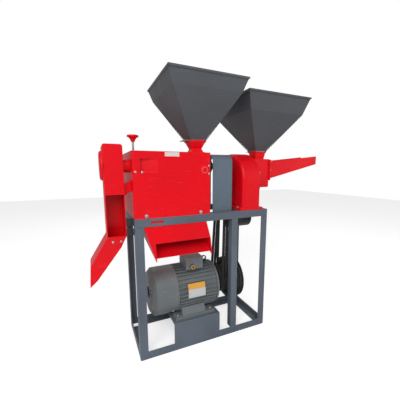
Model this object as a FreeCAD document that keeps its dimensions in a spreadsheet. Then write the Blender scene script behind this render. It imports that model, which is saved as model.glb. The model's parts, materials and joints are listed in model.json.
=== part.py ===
import FreeCAD, Part
import math
import operator
import os

import Sketcher

# Rice huller with a claw crusher on one angle-iron stand, driven by one motor.
# X runs along the machine, Y away from its front, Z up, in millimetres.  The
# sizes below count from the middle of the stand, on the floor; place() then
# moves every piece so that the origin is the middle of the whole outline.

SIZES = {
    # stand
    "frame_long": 570, "frame_wide": 252, "frame_tall": 550,
    "angle_leg": 30, "angle_wall": 3, "post_left": 107, "post_wall": 2,
    "slot_left": -229, "slot_long": 48, "slot_down": 19, "slot_tall": 8,
    "stool_left": -149, "stool_long": 202, "stool_tall": 85, "stool_wall": 4,
    # motor
    "motor_y": -10, "motor_height": 100, "stator_left": -130, "stator_long": 186,
    "stator_radius": 88, "stator_bore": 62, "fin_tall": 11, "fin_thick": 3, "fin_count": 36,
    "air_gap": 0.5, "motor_shaft_radius": 14, "motor_shaft_left": -208,
    "bell_long": 32, "bell_boss": 40, "rear_wall": 10, "fan_cover_long": 95, "fan_cover_wall": 2,
    "foot_left": -137, "foot_long": 174, "foot_thick": 12, "foot_out": 100, "foot_in": 56,
    "foot_block_left": -106, "foot_block_long": 102, "foot_block_tall": 42,
    "foot_bolt_out": 80, "foot_bolt_pitch": 145, "foot_bolt_left": -122, "foot_bolt_radius": 5,
    "bolt_clearance": 0.5, "fan_radius": 84, "fan_left": -200, "fan_wide": 26, "fan_blades": 7,
    "box_left": -82, "box_long": 74, "box_deep": 84, "box_tall": 42, "box_front": -84,
    "lid_thick": 5, "gland_radius": 9, "gland_long": 16, "gland_bore": 4.5,
    "eye_x": 30, "eye_ring": 11, "eye_wire": 3.5,
    # belt drive
    "belt_top": 10.6, "groove_flare": 1.2, "belt_tall": 8, "belt_bottom": 7.5,
    "groove_deep": 12, "belt_clearance": 0.4,
    "small_step": 60, "large_step": 95, "step_x": 140, "motor_pulley_left": 90, "motor_pulley_right": 187,
    "groove_pitch": 15, "mill_groove_one": 98, "crusher_groove": 130.5, "large_groove_one": 148.5,
    "mill_pulley_radius": 38, "mill_pulley_left": 90, "mill_pulley_right": 121,
    "crusher_pulley_radius": 30, "crusher_pulley_left": 122.5, "crusher_pulley_right": 138.5,
    "guard_left": 30, "guard_wide": 89, "guard_deep": 200, "guard_top": 782, "guard_bend": 34,
    "guard_wall": 2,
    # mill housing and milling head
    "housing_left": -285, "housing_long": 293, "housing_top": 785,
    "housing_wall": 2.5, "housing_bend": 6, "mill_y": -50, "mill_z": 735, "mill_shaft_radius": 12.5,
    "mill_shaft_left": -364, "chamber_left": -245, "chamber_radius": 42,
    "chamber_wall": 6, "screen_left": -225, "screen_right": -120, "screen_wall": 1.6,
    "screen_slot": 3, "screen_slots": 9, "roller_left": -240, "roller_long": 128, "roller_radius": 27,
    "rib_tall": 4, "rib_wide": 7, "rib_count": 4, "screw_long": 98, "screw_radius": 33,
    "screw_pitch": 32, "flight_thick": 5, "running_gap": 0.4,
    "right_bearing_long": 30, "bearing_radius": 30, "left_bearing_long": 22,
    "left_bearing_radius": 23,
    "neck_tube_radius": 24, "neck_tube_wall": 3,
    "outlet_low": 646, "outlet_tall": 40, "outlet_drop": 18, "outlet_wide": 50, "outlet_wall": 2,
    "scoop_left": -259, "scoop_long": 62, "scoop_low": 713, "scoop_tall": 46, "scoop_deep": 14,
    # outlet gate and its knob
    "knob_x": -272, "knob_y": -80, "knob_radius": 18, "knob_low": 817,
    "knob_tall": 23, "gate_thick": 4, "gate_low": 640, "gate_tall": 50, "gate_wide": 70,
    "nut_tall": 12, "nut_radius": 9, "knob_rod": 4, "thread_gap": 0.06, "gate_front": -90,
    # air and rice column
    "column_left": -375, "column_long": 65, "column_front": -95, "column_deep": 90,
    "column_top": 807, "column_low": 488, "column_wall": 2.5, "column_mouth": 637,
    "column_round": 8, "impeller_radius": 40, "impeller_left": -360, "impeller_wide": 34, "impeller_wall": 3,
    "impeller_blades": 6, "dish_radius": 51, "dish_deep": 10, "chute_drop": 173, "chute_reach": 65,
    "bracket_wall": 4,
    # bran chute
    "bran_left": -253, "bran_right": -8, "bran_top": 518, "bran_lip": 456, "bran_low": 392,
    "bran_wall": 2, "bran_taper": 35, "bran_spread": 12, "bran_lip_front": -135,
    "bran_mouth_front": -150,
    # throats, shutters, hoppers
    "mill_throat_x": -29, "mill_throat_y": -60, "mill_throat_tall": 41, "mill_throat_top": 33,
    "mill_throat_waist": 19, "mill_throat_foot": 27, "throat_wall": 3, "flange_thick": 4,
    "shutter_thick": 2.4, "shutter_gap": 0.3, "shutter_half": 24,
    "mill_hopper_rim": 1043, "mill_hopper_knee": 995,
    "mill_hopper_half": 148, "mill_hopper_taper": 16, "hopper_wall": 1.5, "hopper_lip": 5,
    "crusher_throat_x": 305, "crusher_throat_y": -12, "crusher_throat_tall": 30,
    "crusher_throat_top": 30, "crusher_throat_low": 22, "crusher_hopper_rim": 1022,
    "crusher_hopper_knee": 954, "crusher_hopper_half": 156, "crusher_hopper_taper": 22,
    "shutter_tab": 22,
    # crusher
    "crusher_y": 0, "crusher_z": 672, "casing_left": 162, "casing_right": 250,
    "casing_radius": 118, "casing_wall": 18, "casing_round": 14, "plinth_left": 148,
    "plinth_right": 262, "plinth_tall": 10, "plinth_front": 124, "cover_thick": 8,
    "cover_radius": 110, "inlet_radius": 26, "rotor_radius": 86, "rotor_thick": 9, "rotor_left": 184,
    "claw_long": 40, "claw_radius": 4.5, "outer_claw_ring": 78, "inner_claw_ring": 50,
    "cover_claw_ring": 64, "outer_claws": 16, "inner_claws": 8, "cover_claws": 12,
    "sieve_radius": 96, "sieve_wall": 1.6, "sieve_slots": 14, "sieve_slot": 6,
    "crusher_shaft_radius": 12.5, "crusher_hub_radius": 30, "hub_left": 141,
    "outlet_half_x": 30, "outlet_half_y": 55, "hood_tall": 90, "hood_wall": 2,
    "mouth_right": 337, "mouth_front": -62, "mouth_deep": 100, "mouth_low": 640,
    "mouth_top": 768, "mouth_wall": 4, "tray_window_low": 684, "tray_window_top": 752,
    "tray_wall": 2, "tray_end": 633, "tray_low_in": 678, "tray_low_out": 747,
    "tray_top_in": 757, "tray_top_out": 786,
    # fasteners
    "head_radius": 6.5, "head_tall": 5, "plinth_edge": 7, "plinth_bolt": 90,
    "cover_bolt_count": 5, "cover_bolt_start": 50, "cover_bolt_pitch": 60,
}

OPERATIONS = {"+": operator.add, "-": operator.sub, "*": operator.mul, "/": operator.truediv}


class Size:
    """A length that knows its number and the sheet expression that gives it."""

    def __init__(self, number, text):
        self.number = number
        self.text = text

    def joined(self, sign, other, swapped=False):
        other = as_size(other)
        first, second = (other, self) if swapped else (self, other)
        number = OPERATIONS[sign](first.number, second.number)
        return Size(number, "(%s %s %s)" % (first.text, sign, second.text))

    def __add__(self, other):
        return self.joined("+", other)

    def __radd__(self, other):
        return self.joined("+", other, True)

    def __sub__(self, other):
        return self.joined("-", other)

    def __rsub__(self, other):
        return self.joined("-", other, True)

    def __mul__(self, other):
        return self.joined("*", other)

    def __rmul__(self, other):
        return self.joined("*", other, True)

    def __truediv__(self, other):
        return self.joined("/", other)

    def __neg__(self):
        return self * -1


def as_size(value):
    if isinstance(value, Size):
        return value
    return Size(value, "(%s)" % value)


class Sizes:
    """Every cell of the sheet, read by its name."""

    def __init__(self, sheet_name, cells):
        for name, number in cells.items():
            setattr(self, name, Size(number, "%s.%s" % (sheet_name, name)))


document = FreeCAD.newDocument("rice_huller")
sheet = document.addObject("Spreadsheet::Sheet", "sizes")
for row, (alias, number) in enumerate(SIZES.items(), start=1):
    sheet.set("A%d" % row, alias)
    sheet.set("B%d" % row, str(number))
    sheet.setAlias("B%d" % row, alias)
document.recompute()
s = Sizes("sizes", SIZES)

# sizes that follow from others
frame_x = s.frame_long / 2
frame_y = s.frame_wide / 2
rail_low = s.frame_tall - s.angle_leg
stool_top = s.angle_leg + s.stool_tall
motor_z = stool_top + s.motor_height
stator_right = s.stator_left + s.stator_long
housing_right = s.housing_left + s.housing_long
column_right = s.column_left + s.column_long
column_back = s.column_front + s.column_deep
mill_throat_top_z = s.housing_top + s.mill_throat_tall
shutter_slot = s.shutter_thick + s.shutter_gap * 2
mill_hopper_low = mill_throat_top_z + s.flange_thick + shutter_slot
crusher_hopper_low = s.mouth_top + s.crusher_throat_tall + s.flange_thick + shutter_slot
cavity_radius = s.casing_radius - s.casing_wall
middle_x = (s.column_left - s.chute_reach + s.tray_end) / 2
middle_y = (s.mill_throat_y - s.mill_hopper_half + s.crusher_throat_y + s.crusher_hopper_half) / 2


# ---------------------------------------------------------------- helpers

def new_body(label):
    body = document.addObject("PartDesign::Body", label)
    body.Label = label
    place(body)
    return body


def place(item, x=0, y=0, z=0):
    """Put an item at a point of the stand, seen from the middle of the outline."""
    for axis, value in zip("xyz", (x - middle_x, y - middle_y, as_size(z))):
        item.setExpression(".Placement.Base.%s" % axis, value.text)


def bind(item, prop, value):
    item.setExpression(prop, as_size(value).text)


def origin_item(body, role):
    return [item for item in body.Origin.OriginFeatures if item.Role == role][0]


def new_sketch(body, plane, level=0):
    sketch = body.newObject("Sketcher::SketchObject", body.Label + "_sketch")
    sketch.AttachmentSupport = [(origin_item(body, plane), "")]
    sketch.MapMode = "FlatFace"
    if isinstance(level, Size):
        sketch.AttachmentOffset = FreeCAD.Placement(FreeCAD.Vector(0, 0, level.number),
                                                    FreeCAD.Rotation())
        sketch.setExpression(".AttachmentOffset.Base.z", level.text)
    return sketch


def hold_point(sketch, geometry, point, x, y):
    for kind, value in (("DistanceX", as_size(x)), ("DistanceY", as_size(y))):
        number = sketch.addConstraint(Sketcher.Constraint(kind, geometry, point, value.number))
        sketch.setExpression("Constraints[%d]" % number, value.text)


def draw_outline(sketch, points):
    """Closed outline of straight lines, each corner held by two sheet expressions."""
    corners = [(as_size(x), as_size(y)) for x, y in points]
    vectors = [FreeCAD.Vector(x.number, y.number, 0) for x, y in corners]
    first = sketch.GeometryCount
    count = len(vectors)
    for index in range(count):
        sketch.addGeometry(Part.LineSegment(vectors[index], vectors[(index + 1) % count]))
    for index in range(count):
        following = first + (index + 1) % count
        sketch.addConstraint(Sketcher.Constraint("Coincident", first + index, 2, following, 1))
    for index, (x, y) in enumerate(corners):
        hold_point(sketch, first + index, 1, x, y)


def draw_rectangle(sketch, left, low, right, top):
    draw_outline(sketch, [(left, low), (right, low), (right, top), (left, top)])


def draw_rounded(sketch, points):
    """Closed outline of level and upright lines; a corner (x, y, radius) may be rounded."""
    corners = [(as_size(x), as_size(y), as_size(radius)) for x, y, radius in points]
    count = len(corners)
    ends = []
    for index, (x, y, radius) in enumerate(corners):
        before = corners[index - 1]
        after = corners[(index + 1) % count]
        back = [math.copysign(abs(gap) > 0.001, gap) for gap in
                (before[0].number - x.number, before[1].number - y.number)]
        forth = [math.copysign(abs(gap) > 0.001, gap) for gap in
                 (after[0].number - x.number, after[1].number - y.number)]
        if radius.number:
            ends.append(((x + radius * back[0], y + radius * back[1]),
                         (x + radius * forth[0], y + radius * forth[1]),
                         (x + radius * (back[0] + forth[0]), y + radius * (back[1] + forth[1]))))
        else:
            ends.append(((x, y), (x, y), None))
    flat = [[FreeCAD.Vector(point[0].number, point[1].number, 0) for point in corner if point]
            for corner in ends]
    lines = [sketch.addGeometry(Part.LineSegment(flat[index][1], flat[(index + 1) % count][0]))
             for index in range(count)]
    for index, (start, end, centre) in enumerate(ends):
        entering = lines[index - 1]
        leaving = lines[index]
        if centre is None:
            sketch.addConstraint(Sketcher.Constraint("Coincident", entering, 2, leaving, 1))
            hold_point(sketch, leaving, 1, *start)
            continue
        hold_point(sketch, entering, 2, *start)
        hold_point(sketch, leaving, 1, *end)
        middle = flat[index][2]
        corner = FreeCAD.Vector(corners[index][0].number, corners[index][1].number, 0)
        towards = (corner - middle).normalize() * corners[index][2].number
        arc = sketch.addGeometry(Part.Arc(flat[index][0], middle + towards, flat[index][1]))
        first = 1 if sketch.getPoint(arc, 1).distanceToPoint(flat[index][0]) < 0.01 else 2
        sketch.addConstraint(Sketcher.Constraint("Coincident", arc, first, entering, 2))
        sketch.addConstraint(Sketcher.Constraint("Coincident", arc, 3 - first, leaving, 1))
        number = sketch.addConstraint(Sketcher.Constraint("DistanceX", arc, 3, middle.x))
        sketch.setExpression("Constraints[%d]" % number, centre[0].text)


def draw_circle(sketch, x, y, radius):
    centre = FreeCAD.Vector(as_size(x).number, as_size(y).number, 0)
    radius = as_size(radius)
    circle = sketch.addGeometry(Part.Circle(centre, FreeCAD.Vector(0, 0, 1), radius.number))
    hold_point(sketch, circle, 3, x, y)
    number = sketch.addConstraint(Sketcher.Constraint("Radius", circle, radius.number))
    sketch.setExpression("Constraints[%d]" % number, radius.text)


def pad(body, sketch, length, midplane=False, backwards=False):
    feature = body.newObject("PartDesign::Pad", body.Label + "_pad")
    feature.Profile = sketch
    feature.Midplane = midplane
    feature.Reversed = backwards
    bind(feature, "Length", length)
    return feature


def pocket(body, sketch, length=None, midplane=False, backwards=False):
    feature = body.newObject("PartDesign::Pocket", body.Label + "_pocket")
    feature.Profile = sketch
    feature.Midplane = midplane
    feature.Reversed = backwards
    if length is None:
        feature.Type = "ThroughAll"
    else:
        bind(feature, "Length", length)
    return feature


def revolve(body, sketch, axis="X_Axis"):
    feature = body.newObject("PartDesign::Revolution", body.Label + "_turned")
    feature.Profile = sketch
    feature.ReferenceAxis = (origin_item(body, axis), [""])
    feature.Angle = 360
    return feature


def around_x(body, feature, count):
    pattern = body.newObject("PartDesign::PolarPattern", body.Label + "_ring")
    pattern.Originals = [feature]
    pattern.Axis = (origin_item(body, "X_Axis"), [""])
    pattern.Angle = 360
    bind(pattern, "Occurrences", count)
    body.Tip = pattern
    return pattern


def wedge(body, low, high, cut=False):
    """Frustum between two rectangles (level, left, right, front, back), added or cut away."""
    kind = "PartDesign::SubtractiveWedge" if cut else "PartDesign::AdditiveWedge"
    feature = body.newObject(kind, body.Label + "_wedge")
    feature.AttachmentSupport = [(origin_item(body, "XY_Plane"), "")]
    feature.MapMode = "FlatFace"
    upright = FreeCAD.Rotation(FreeCAD.Vector(1, 0, 0), 90)
    feature.AttachmentOffset = FreeCAD.Placement(FreeCAD.Vector(0, 0, 0), upright)
    foot = [as_size(value) for value in low]
    head = [as_size(value) for value in high]
    values = {"Ymin": foot[0], "Ymax": head[0], "Xmin": foot[1], "Xmax": foot[2], "Zmin": 0 - foot[4],
              "Zmax": 0 - foot[3], "X2min": head[1], "X2max": head[2], "Z2min": 0 - head[4],
              "Z2max": 0 - head[3]}
    for name in ("Ymax", "Xmax", "Zmax", "X2max", "Z2max", "Ymin", "Xmin", "Zmin", "X2min", "Z2min"):
        setattr(feature, name, values[name].number)
    for name, value in values.items():
        bind(feature, name, value)
    return feature


def fillet_edges(body, base, radius, chosen):
    """Rounds the edges of base for which chosen(edge) is true."""
    document.recompute()
    names = ["Edge%d" % number for number, edge in enumerate(base.Shape.Edges, start=1)
             if chosen(edge)]
    feature = body.newObject("PartDesign::Fillet", body.Label + "_fillet")
    feature.Base = (base, names)
    bind(feature, "Radius", radius)
    return feature


def along(edge, axis):
    """True for a straight edge that runs along one axis."""
    first, last = edge.Vertexes[0].Point, edge.Vertexes[-1].Point
    moved = last - first
    return moved.Length > 1 and abs(abs(moved[axis]) - moved.Length) < 0.01


def tapered_shell(label, sections, wall):
    """Sheet duct through rectangles (level, left, right, front, back), open at its ends."""
    body = new_body(label)
    for low, high in zip(sections, sections[1:]):
        wedge(body, low, high)
    inner = [(level, left + wall, right - wall, front + wall, back - wall)
             for level, left, right, front, back in sections]
    for low, high in zip(inner, inner[1:]):
        wedge(body, low, high, cut=True)
    return body


def box_body(label, left, right, front, back, low, top):
    body = new_body(label)
    sketch = new_sketch(body, "XY_Plane", as_size(low))
    draw_rectangle(sketch, left, front, right, back)
    pad(body, sketch, as_size(top) - low)
    return body


def cut_box(body, left, right, front, back, low, top):
    sketch = new_sketch(body, "XY_Plane", as_size(low))
    draw_rectangle(sketch, left, front, right, back)
    return pocket(body, sketch, as_size(top) - low, backwards=True)


def disc(body, x, length, radius, y=0, z=0):
    """Round pad along X."""
    sketch = new_sketch(body, "YZ_Plane", as_size(x))
    draw_circle(sketch, y, z, radius)
    return pad(body, sketch, length)


def bore(body, x, length, radius, y=0, z=0):
    """Round hole along X."""
    sketch = new_sketch(body, "YZ_Plane", as_size(x))
    draw_circle(sketch, y, z, radius)
    return pocket(body, sketch, length, backwards=True)


def plain_cylinder(label, radius, height, x, y, z, direction=FreeCAD.Vector(0, 0, 1)):
    item = document.addObject("Part::Cylinder", label)
    bind(item, "Radius", radius)
    bind(item, "Height", height)
    item.Placement = FreeCAD.Placement(FreeCAD.Vector(0, 0, 0),
                                       FreeCAD.Rotation(FreeCAD.Vector(0, 0, 1), direction))
    place(item, x, y, z)
    return item


# ---------------------------------------------------------------- stand

def angle_profile(outside, corner, rise, side):
    """Angle iron seen along its length: a flange at the corner's level, a web above or below it."""
    inner = outside - s.angle_leg
    web = outside - s.angle_wall
    web_end = corner + s.angle_leg * rise
    flange_end = corner + s.angle_wall * rise
    return [(outside * side, web_end), (outside * side, corner), (inner * side, corner),
            (inner * side, flange_end), (web * side, flange_end), (web * side, web_end)]


def angle_rail(label, run, side, corner, rise, length, mitred):
    outside = frame_y if run == "x" else frame_x
    half = length / 2
    leg = s.angle_leg
    body = new_body(label)
    sketch = new_sketch(body, "YZ_Plane" if run == "x" else "XZ_Plane")
    draw_outline(sketch, angle_profile(outside, corner, rise, side))
    pad(body, sketch, length, midplane=True)
    if mitred:
        corners = new_sketch(body, "XY_Plane")
        for end in (-1, 1):
            triangle = [(half * end, outside * side), (half * end, (outside - leg) * side),
                        ((half - leg) * end, (outside - leg) * side)]
            if run == "y":
                triangle = [(y, x) for x, y in triangle]
            draw_outline(corners, triangle)
        pocket(body, corners, midplane=True)
    if label == "top_rail_front":
        cut_box(body, s.slot_left, s.slot_left + s.slot_long, -frame_y, s.angle_wall - frame_y,
                corner - s.slot_down, corner - s.slot_down + s.slot_tall)
    return body


def frame_leg(label, side_x, side_y):
    leg = s.angle_leg
    wall = s.angle_wall
    points = [(0, 0), (leg, 0), (leg, wall), (wall, wall), (wall, leg), (0, leg)]
    body = new_body(label)
    sketch = new_sketch(body, "XY_Plane")
    draw_outline(sketch, [((frame_x - across) * side_x, (frame_y - deep) * side_y)
                          for across, deep in points])
    pad(body, sketch, rail_low)
    return body


def frame_post():
    body = new_body("frame_post")
    sketch = new_sketch(body, "XY_Plane", s.angle_leg)
    right = s.post_left + s.angle_leg
    draw_rectangle(sketch, s.post_left, -frame_y, right, s.angle_leg - frame_y)
    tube = pad(body, sketch, rail_low - s.angle_leg)
    fillet_edges(body, tube, s.angle_wall, lambda edge: along(edge, 2))
    hollow = new_sketch(body, "XY_Plane", s.angle_leg)
    wall = s.post_wall
    draw_rectangle(hollow, s.post_left + wall, wall - frame_y, right - wall,
                   s.angle_leg - frame_y - wall)
    pocket(body, hollow, midplane=True)


def group(label, members):
    """Like pieces that share one node, each still a solid of its own."""
    item = document.addObject("Part::Compound", label)
    item.Links = members
    return item


def stand():
    top = s.frame_tall
    floor = as_size(0)
    leg = s.angle_leg
    sides = (("left", -1), ("right", 1))
    for name, side in (("front", -1), ("back", 1)):
        angle_rail("top_rail_" + name, "x", side, top, -1, s.frame_long, True)
        angle_rail("bottom_rail_" + name, "x", side, floor, 1, s.frame_long - leg * 2, False)
        group("%s_legs" % name, [frame_leg("leg_%s_%s" % (name, hand), across, side)
                                 for hand, across in sides])
    group("top_end_rails", [angle_rail("top_rail_" + hand, "y", across, top, -1, s.frame_wide, True)
                            for hand, across in sides])
    group("bottom_end_rails", [angle_rail("bottom_rail_" + hand, "y", across, floor, 1,
                                          s.frame_wide - leg * 2, False)
                               for hand, across in sides])
    frame_post()


def motor_stool():
    """Bent sheet table that carries the motor between the bottom rails."""
    wall = s.stool_wall
    body = new_body("motor_stool")
    sketch = new_sketch(body, "YZ_Plane", s.stool_left)
    draw_outline(sketch, [(-frame_y, s.angle_leg), (-frame_y, stool_top), (frame_y, stool_top),
                          (frame_y, s.angle_leg), (frame_y - wall, s.angle_leg),
                          (frame_y - wall, stool_top - wall), (wall - frame_y, stool_top - wall),
                          (wall - frame_y, s.angle_leg)])
    bent = pad(body, sketch, s.stool_long)
    fillet_edges(body, bent, s.stool_wall,
                 lambda edge: along(edge, 0) and edge.BoundBox.ZMin > stool_top.number - 1)
    holes = new_sketch(body, "XY_Plane", stool_top)
    for x in (s.foot_bolt_left, s.foot_bolt_left + s.foot_bolt_pitch):
        for side in (-1, 1):
            draw_circle(holes, x, s.motor_y + s.foot_bolt_out * side,
                        s.foot_bolt_radius + s.bolt_clearance)
    pocket(body, holes, wall)


# ---------------------------------------------------------------- motor

def motor_stator():
    """Finned shell with its feet; drawn about the shaft line, then placed."""
    body = new_body("motor_stator")
    disc(body, s.stator_left, s.stator_long, s.stator_radius)
    disc(body, s.stator_left, s.rear_wall, s.stator_radius + s.fin_tall)
    fin = new_sketch(body, "YZ_Plane", s.stator_left + s.fin_thick * 2)
    half = s.fin_thick / 2
    draw_rectangle(fin, -half, s.stator_radius - half, half, s.stator_radius + s.fin_tall)
    around_x(body, pad(body, fin, s.stator_long - s.fin_thick * 4), s.fin_count)
    for side in (-1, 1):
        foot = new_sketch(body, "YZ_Plane", s.foot_left)
        draw_rectangle(foot, s.foot_in * side, -s.motor_height, s.foot_out * side,
                       s.foot_thick - s.motor_height)
        pad(body, foot, s.foot_long)
        block = new_sketch(body, "YZ_Plane", s.foot_block_left)
        rise = s.foot_block_tall - s.motor_height
        draw_outline(block, [(s.foot_in * side, -s.motor_height), (s.foot_out * side, -s.motor_height),
                             (s.foot_bolt_out * side, rise), (s.foot_in * side, rise)])
        pad(body, block, s.foot_block_long)
    holes = new_sketch(body, "XY_Plane", s.foot_thick * 2 - s.motor_height)
    for x in (s.foot_bolt_left, s.foot_bolt_left + s.foot_bolt_pitch):
        for side in (-1, 1):
            draw_circle(holes, x, s.foot_bolt_out * side, s.foot_bolt_radius + s.bolt_clearance)
    pocket(body, holes, s.foot_thick * 3)
    bore(body, s.stator_left + s.rear_wall, s.stator_long - s.rear_wall, s.stator_bore)
    bore(body, s.stator_left, s.rear_wall, s.motor_shaft_radius + s.running_gap)
    place(body, 0, s.motor_y, motor_z)


def motor_drive_bell():
    """Bearing shield at the drive end."""
    rim = s.stator_radius
    body = new_body("motor_drive_bell")
    sketch = new_sketch(body, "XZ_Plane")
    inner = s.motor_shaft_radius + s.running_gap
    end = stator_right + s.bell_long
    draw_outline(sketch, [(stator_right, inner), (stator_right, rim + s.fin_tall / 2),
                          (stator_right + s.bell_long / 4, rim + s.fin_tall / 2),
                          (end - s.bell_long / 4, s.bell_boss * 1.4), (end - s.bell_long / 4, s.bell_boss),
                          (end, s.bell_boss), (end, inner)])
    revolve(body, sketch)
    place(body, 0, s.motor_y, motor_z)


def motor_fan_cover():
    """Pressed bowl with a ring of air slots in its end."""
    radius = s.stator_radius + s.fin_tall
    wall = s.fan_cover_wall
    end = s.stator_left - s.fan_cover_long
    shoulder = radius / 6
    mouth = radius / 4
    body = new_body("motor_fan_cover")
    sketch = new_sketch(body, "XZ_Plane")
    draw_outline(sketch, [(s.stator_left, radius), (end + shoulder, radius), (end, radius - shoulder),
                          (end, mouth), (end + wall, mouth), (end + wall, radius - shoulder - wall / 2),
                          (end + shoulder + wall / 2, radius - wall), (s.stator_left, radius - wall)])
    revolve(body, sketch)
    slot = new_sketch(body, "YZ_Plane", end - wall)
    draw_rectangle(slot, -wall, mouth + wall * 4, wall, radius - shoulder - wall * 4)
    around_x(body, pocket(body, slot, wall * 3, backwards=True), as_size(24))
    place(body, 0, s.motor_y, motor_z)


def motor_rotor():
    """Shaft, laminated core and cooling fan turn together."""
    shaft = new_body("motor_shaft")
    disc(shaft, s.motor_shaft_left, s.motor_pulley_right - s.motor_shaft_left, s.motor_shaft_radius)
    place(shaft, 0, s.motor_y, motor_z)
    core = new_body("motor_core")
    sketch = new_sketch(core, "YZ_Plane", s.stator_left + s.foot_thick)
    draw_circle(sketch, 0, 0, s.stator_bore - s.air_gap)
    draw_circle(sketch, 0, 0, s.motor_shaft_radius)
    pad(core, sketch, s.stator_long - s.foot_thick * 2)
    place(core, 0, s.motor_y, motor_z)
    fan = new_body("motor_fan")
    hub = new_sketch(fan, "YZ_Plane", s.fan_left)
    draw_circle(hub, 0, 0, s.motor_shaft_radius * 2)
    draw_circle(hub, 0, 0, s.motor_shaft_radius)
    pad(fan, hub, s.fan_wide)
    blade = new_sketch(fan, "YZ_Plane", s.fan_left)
    half = s.fin_thick / 2
    draw_rectangle(blade, -half, s.motor_shaft_radius * 1.8, half, s.fan_radius)
    around_x(fan, pad(fan, blade, s.fan_wide), s.fan_blades)
    place(fan, 0, s.motor_y, motor_z)


def terminal_box():
    """Box, lid and cable gland on the top of the stator."""
    low = motor_z + s.stator_radius + s.fin_tall
    top = low + s.box_tall
    back = s.box_front + s.box_deep
    right = s.box_left + s.box_long
    body = box_body("terminal_box", s.box_left, right, s.box_front, back, low, top)
    cut_box(body, s.box_left + s.lid_thick, right - s.lid_thick, s.box_front + s.lid_thick,
            back - s.lid_thick, low + s.lid_thick, top + 1)
    hole = new_sketch(body, "XZ_Plane", -s.box_front)
    draw_circle(hole, s.box_left + s.box_long / 3, low + s.gland_radius * 1.5, s.gland_bore)
    pocket(body, hole, s.lid_thick * 2)
    lid = box_body("terminal_lid", s.box_left - 2, right + 2, s.box_front - 2, back + 2,
                   top, top + s.lid_thick)
    lid.Tip = fillet_edges(lid, lid.Tip, s.lid_thick / 2, lambda edge: along(edge, 2))
    gland = new_body("cable_gland")
    sketch = new_sketch(gland, "XZ_Plane", -s.box_front)
    draw_circle(sketch, s.box_left + s.box_long / 3, low + s.gland_radius * 1.5, s.gland_radius)
    draw_circle(sketch, s.box_left + s.box_long / 3, low + s.gland_radius * 1.5, s.gland_bore)
    pad(gland, sketch, s.gland_long)


def lifting_eye():
    """Ring on a foot, screwed to the top of the stator."""
    low = motor_z + s.stator_radius + s.fin_tall
    body = new_body("lifting_eye")
    foot = new_sketch(body, "XY_Plane", low)
    draw_circle(foot, s.eye_x, s.motor_y, s.eye_wire * 2)
    pad(body, foot, s.eye_wire)
    ring = new_sketch(body, "XZ_Plane", -(s.motor_y - s.eye_wire))
    centre = low + s.eye_ring + s.eye_wire / 2
    draw_circle(ring, s.eye_x, centre, s.eye_ring)
    draw_circle(ring, s.eye_x, centre, s.eye_ring - s.eye_wire)
    pad(body, ring, s.eye_wire * 2, backwards=True)


# ---------------------------------------------------------------- belt drive

def grooved(left, right, radius, grooves):
    """Rim outline from left to right with one V groove at each given place."""
    half_top = s.belt_top / 2 + s.belt_clearance + s.groove_flare
    half_low = s.belt_bottom / 2 + s.belt_clearance
    points = [(left, radius)]
    for groove in grooves:
        points += [(groove - half_top, radius), (groove - half_low, radius - s.groove_deep),
                   (groove + half_low, radius - s.groove_deep), (groove + half_top, radius)]
    return points + [(right, radius)]


def simple_pulley(label, left, right, radius, shaft_radius, grooves):
    body = new_body(label)
    sketch = new_sketch(body, "XZ_Plane")
    draw_outline(sketch, [(left, shaft_radius)] + grooved(left, right, radius, grooves)
                 + [(right, shaft_radius)])
    revolve(body, sketch)
    return body


def motor_pulley():
    """Two-step pulley: the small step drives the belts, the large one is dished."""
    left = s.motor_pulley_left
    right = s.motor_pulley_right
    step = s.step_x
    rim = s.large_step - s.groove_deep * 1.5
    web = (right - step) / 4
    hub = s.motor_shaft_radius * 2
    large = [s.large_groove_one + s.groove_pitch * turn for turn in range(3)]
    small = [s.mill_groove_one, s.mill_groove_one + s.groove_pitch, s.crusher_groove]
    body = new_body("motor_pulley")
    sketch = new_sketch(body, "XZ_Plane")
    points = [(left, s.motor_shaft_radius)]
    points += grooved(left, step - 1, s.small_step, small)
    points += [(step - 1, s.small_step - s.groove_deep), (step + web, s.small_step - s.groove_deep),
               (step + web, rim), (step, rim)]
    points += grooved(step, right, s.large_step, large)
    points += [(right, rim), (right - web, rim), (right - web, hub), (right, hub),
               (right, s.motor_shaft_radius)]
    draw_outline(sketch, points)
    revolve(body, sketch)
    place(body, 0, s.motor_y, motor_z)


def pulleys():
    motor_pulley()
    mill = simple_pulley("mill_pulley", s.mill_pulley_left, s.mill_pulley_right, s.mill_pulley_radius,
                         s.mill_shaft_radius, [s.mill_groove_one, s.mill_groove_one + s.groove_pitch])
    place(mill, 0, s.mill_y, s.mill_z)
    crusher = simple_pulley("crusher_pulley", s.crusher_pulley_left, s.crusher_pulley_right,
                            s.crusher_pulley_radius, s.crusher_shaft_radius, [s.crusher_groove])
    place(crusher, 0, s.crusher_y, s.crusher_z)


def belt_loop(low_centre, low_radius, high_centre, high_radius):
    """Closed face between two tangent lines and two arcs, in the YZ plane."""
    gap = high_centre - low_centre
    lean = math.atan2(gap.y, gap.z)
    tilt = math.asin((low_radius - high_radius) / gap.Length)
    edges = []
    corners = []
    for side in (-1, 1):
        turn = side * (math.pi / 2 - tilt) + lean
        outward = FreeCAD.Vector(0, math.sin(turn), math.cos(turn))
        corners.append((low_centre + outward * low_radius, high_centre + outward * high_radius))
    upward = FreeCAD.Vector(0, math.sin(lean), math.cos(lean))
    (low_left, high_left), (low_right, high_right) = corners
    edges.append(Part.makeLine(low_left, high_left))
    edges.append(Part.Arc(high_left, high_centre + upward * high_radius, high_right).toShape())
    edges.append(Part.makeLine(high_right, low_right))
    edges.append(Part.Arc(low_right, low_centre - upward * low_radius, low_left).toShape())
    return Part.Face(Part.Wire(edges))


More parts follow.
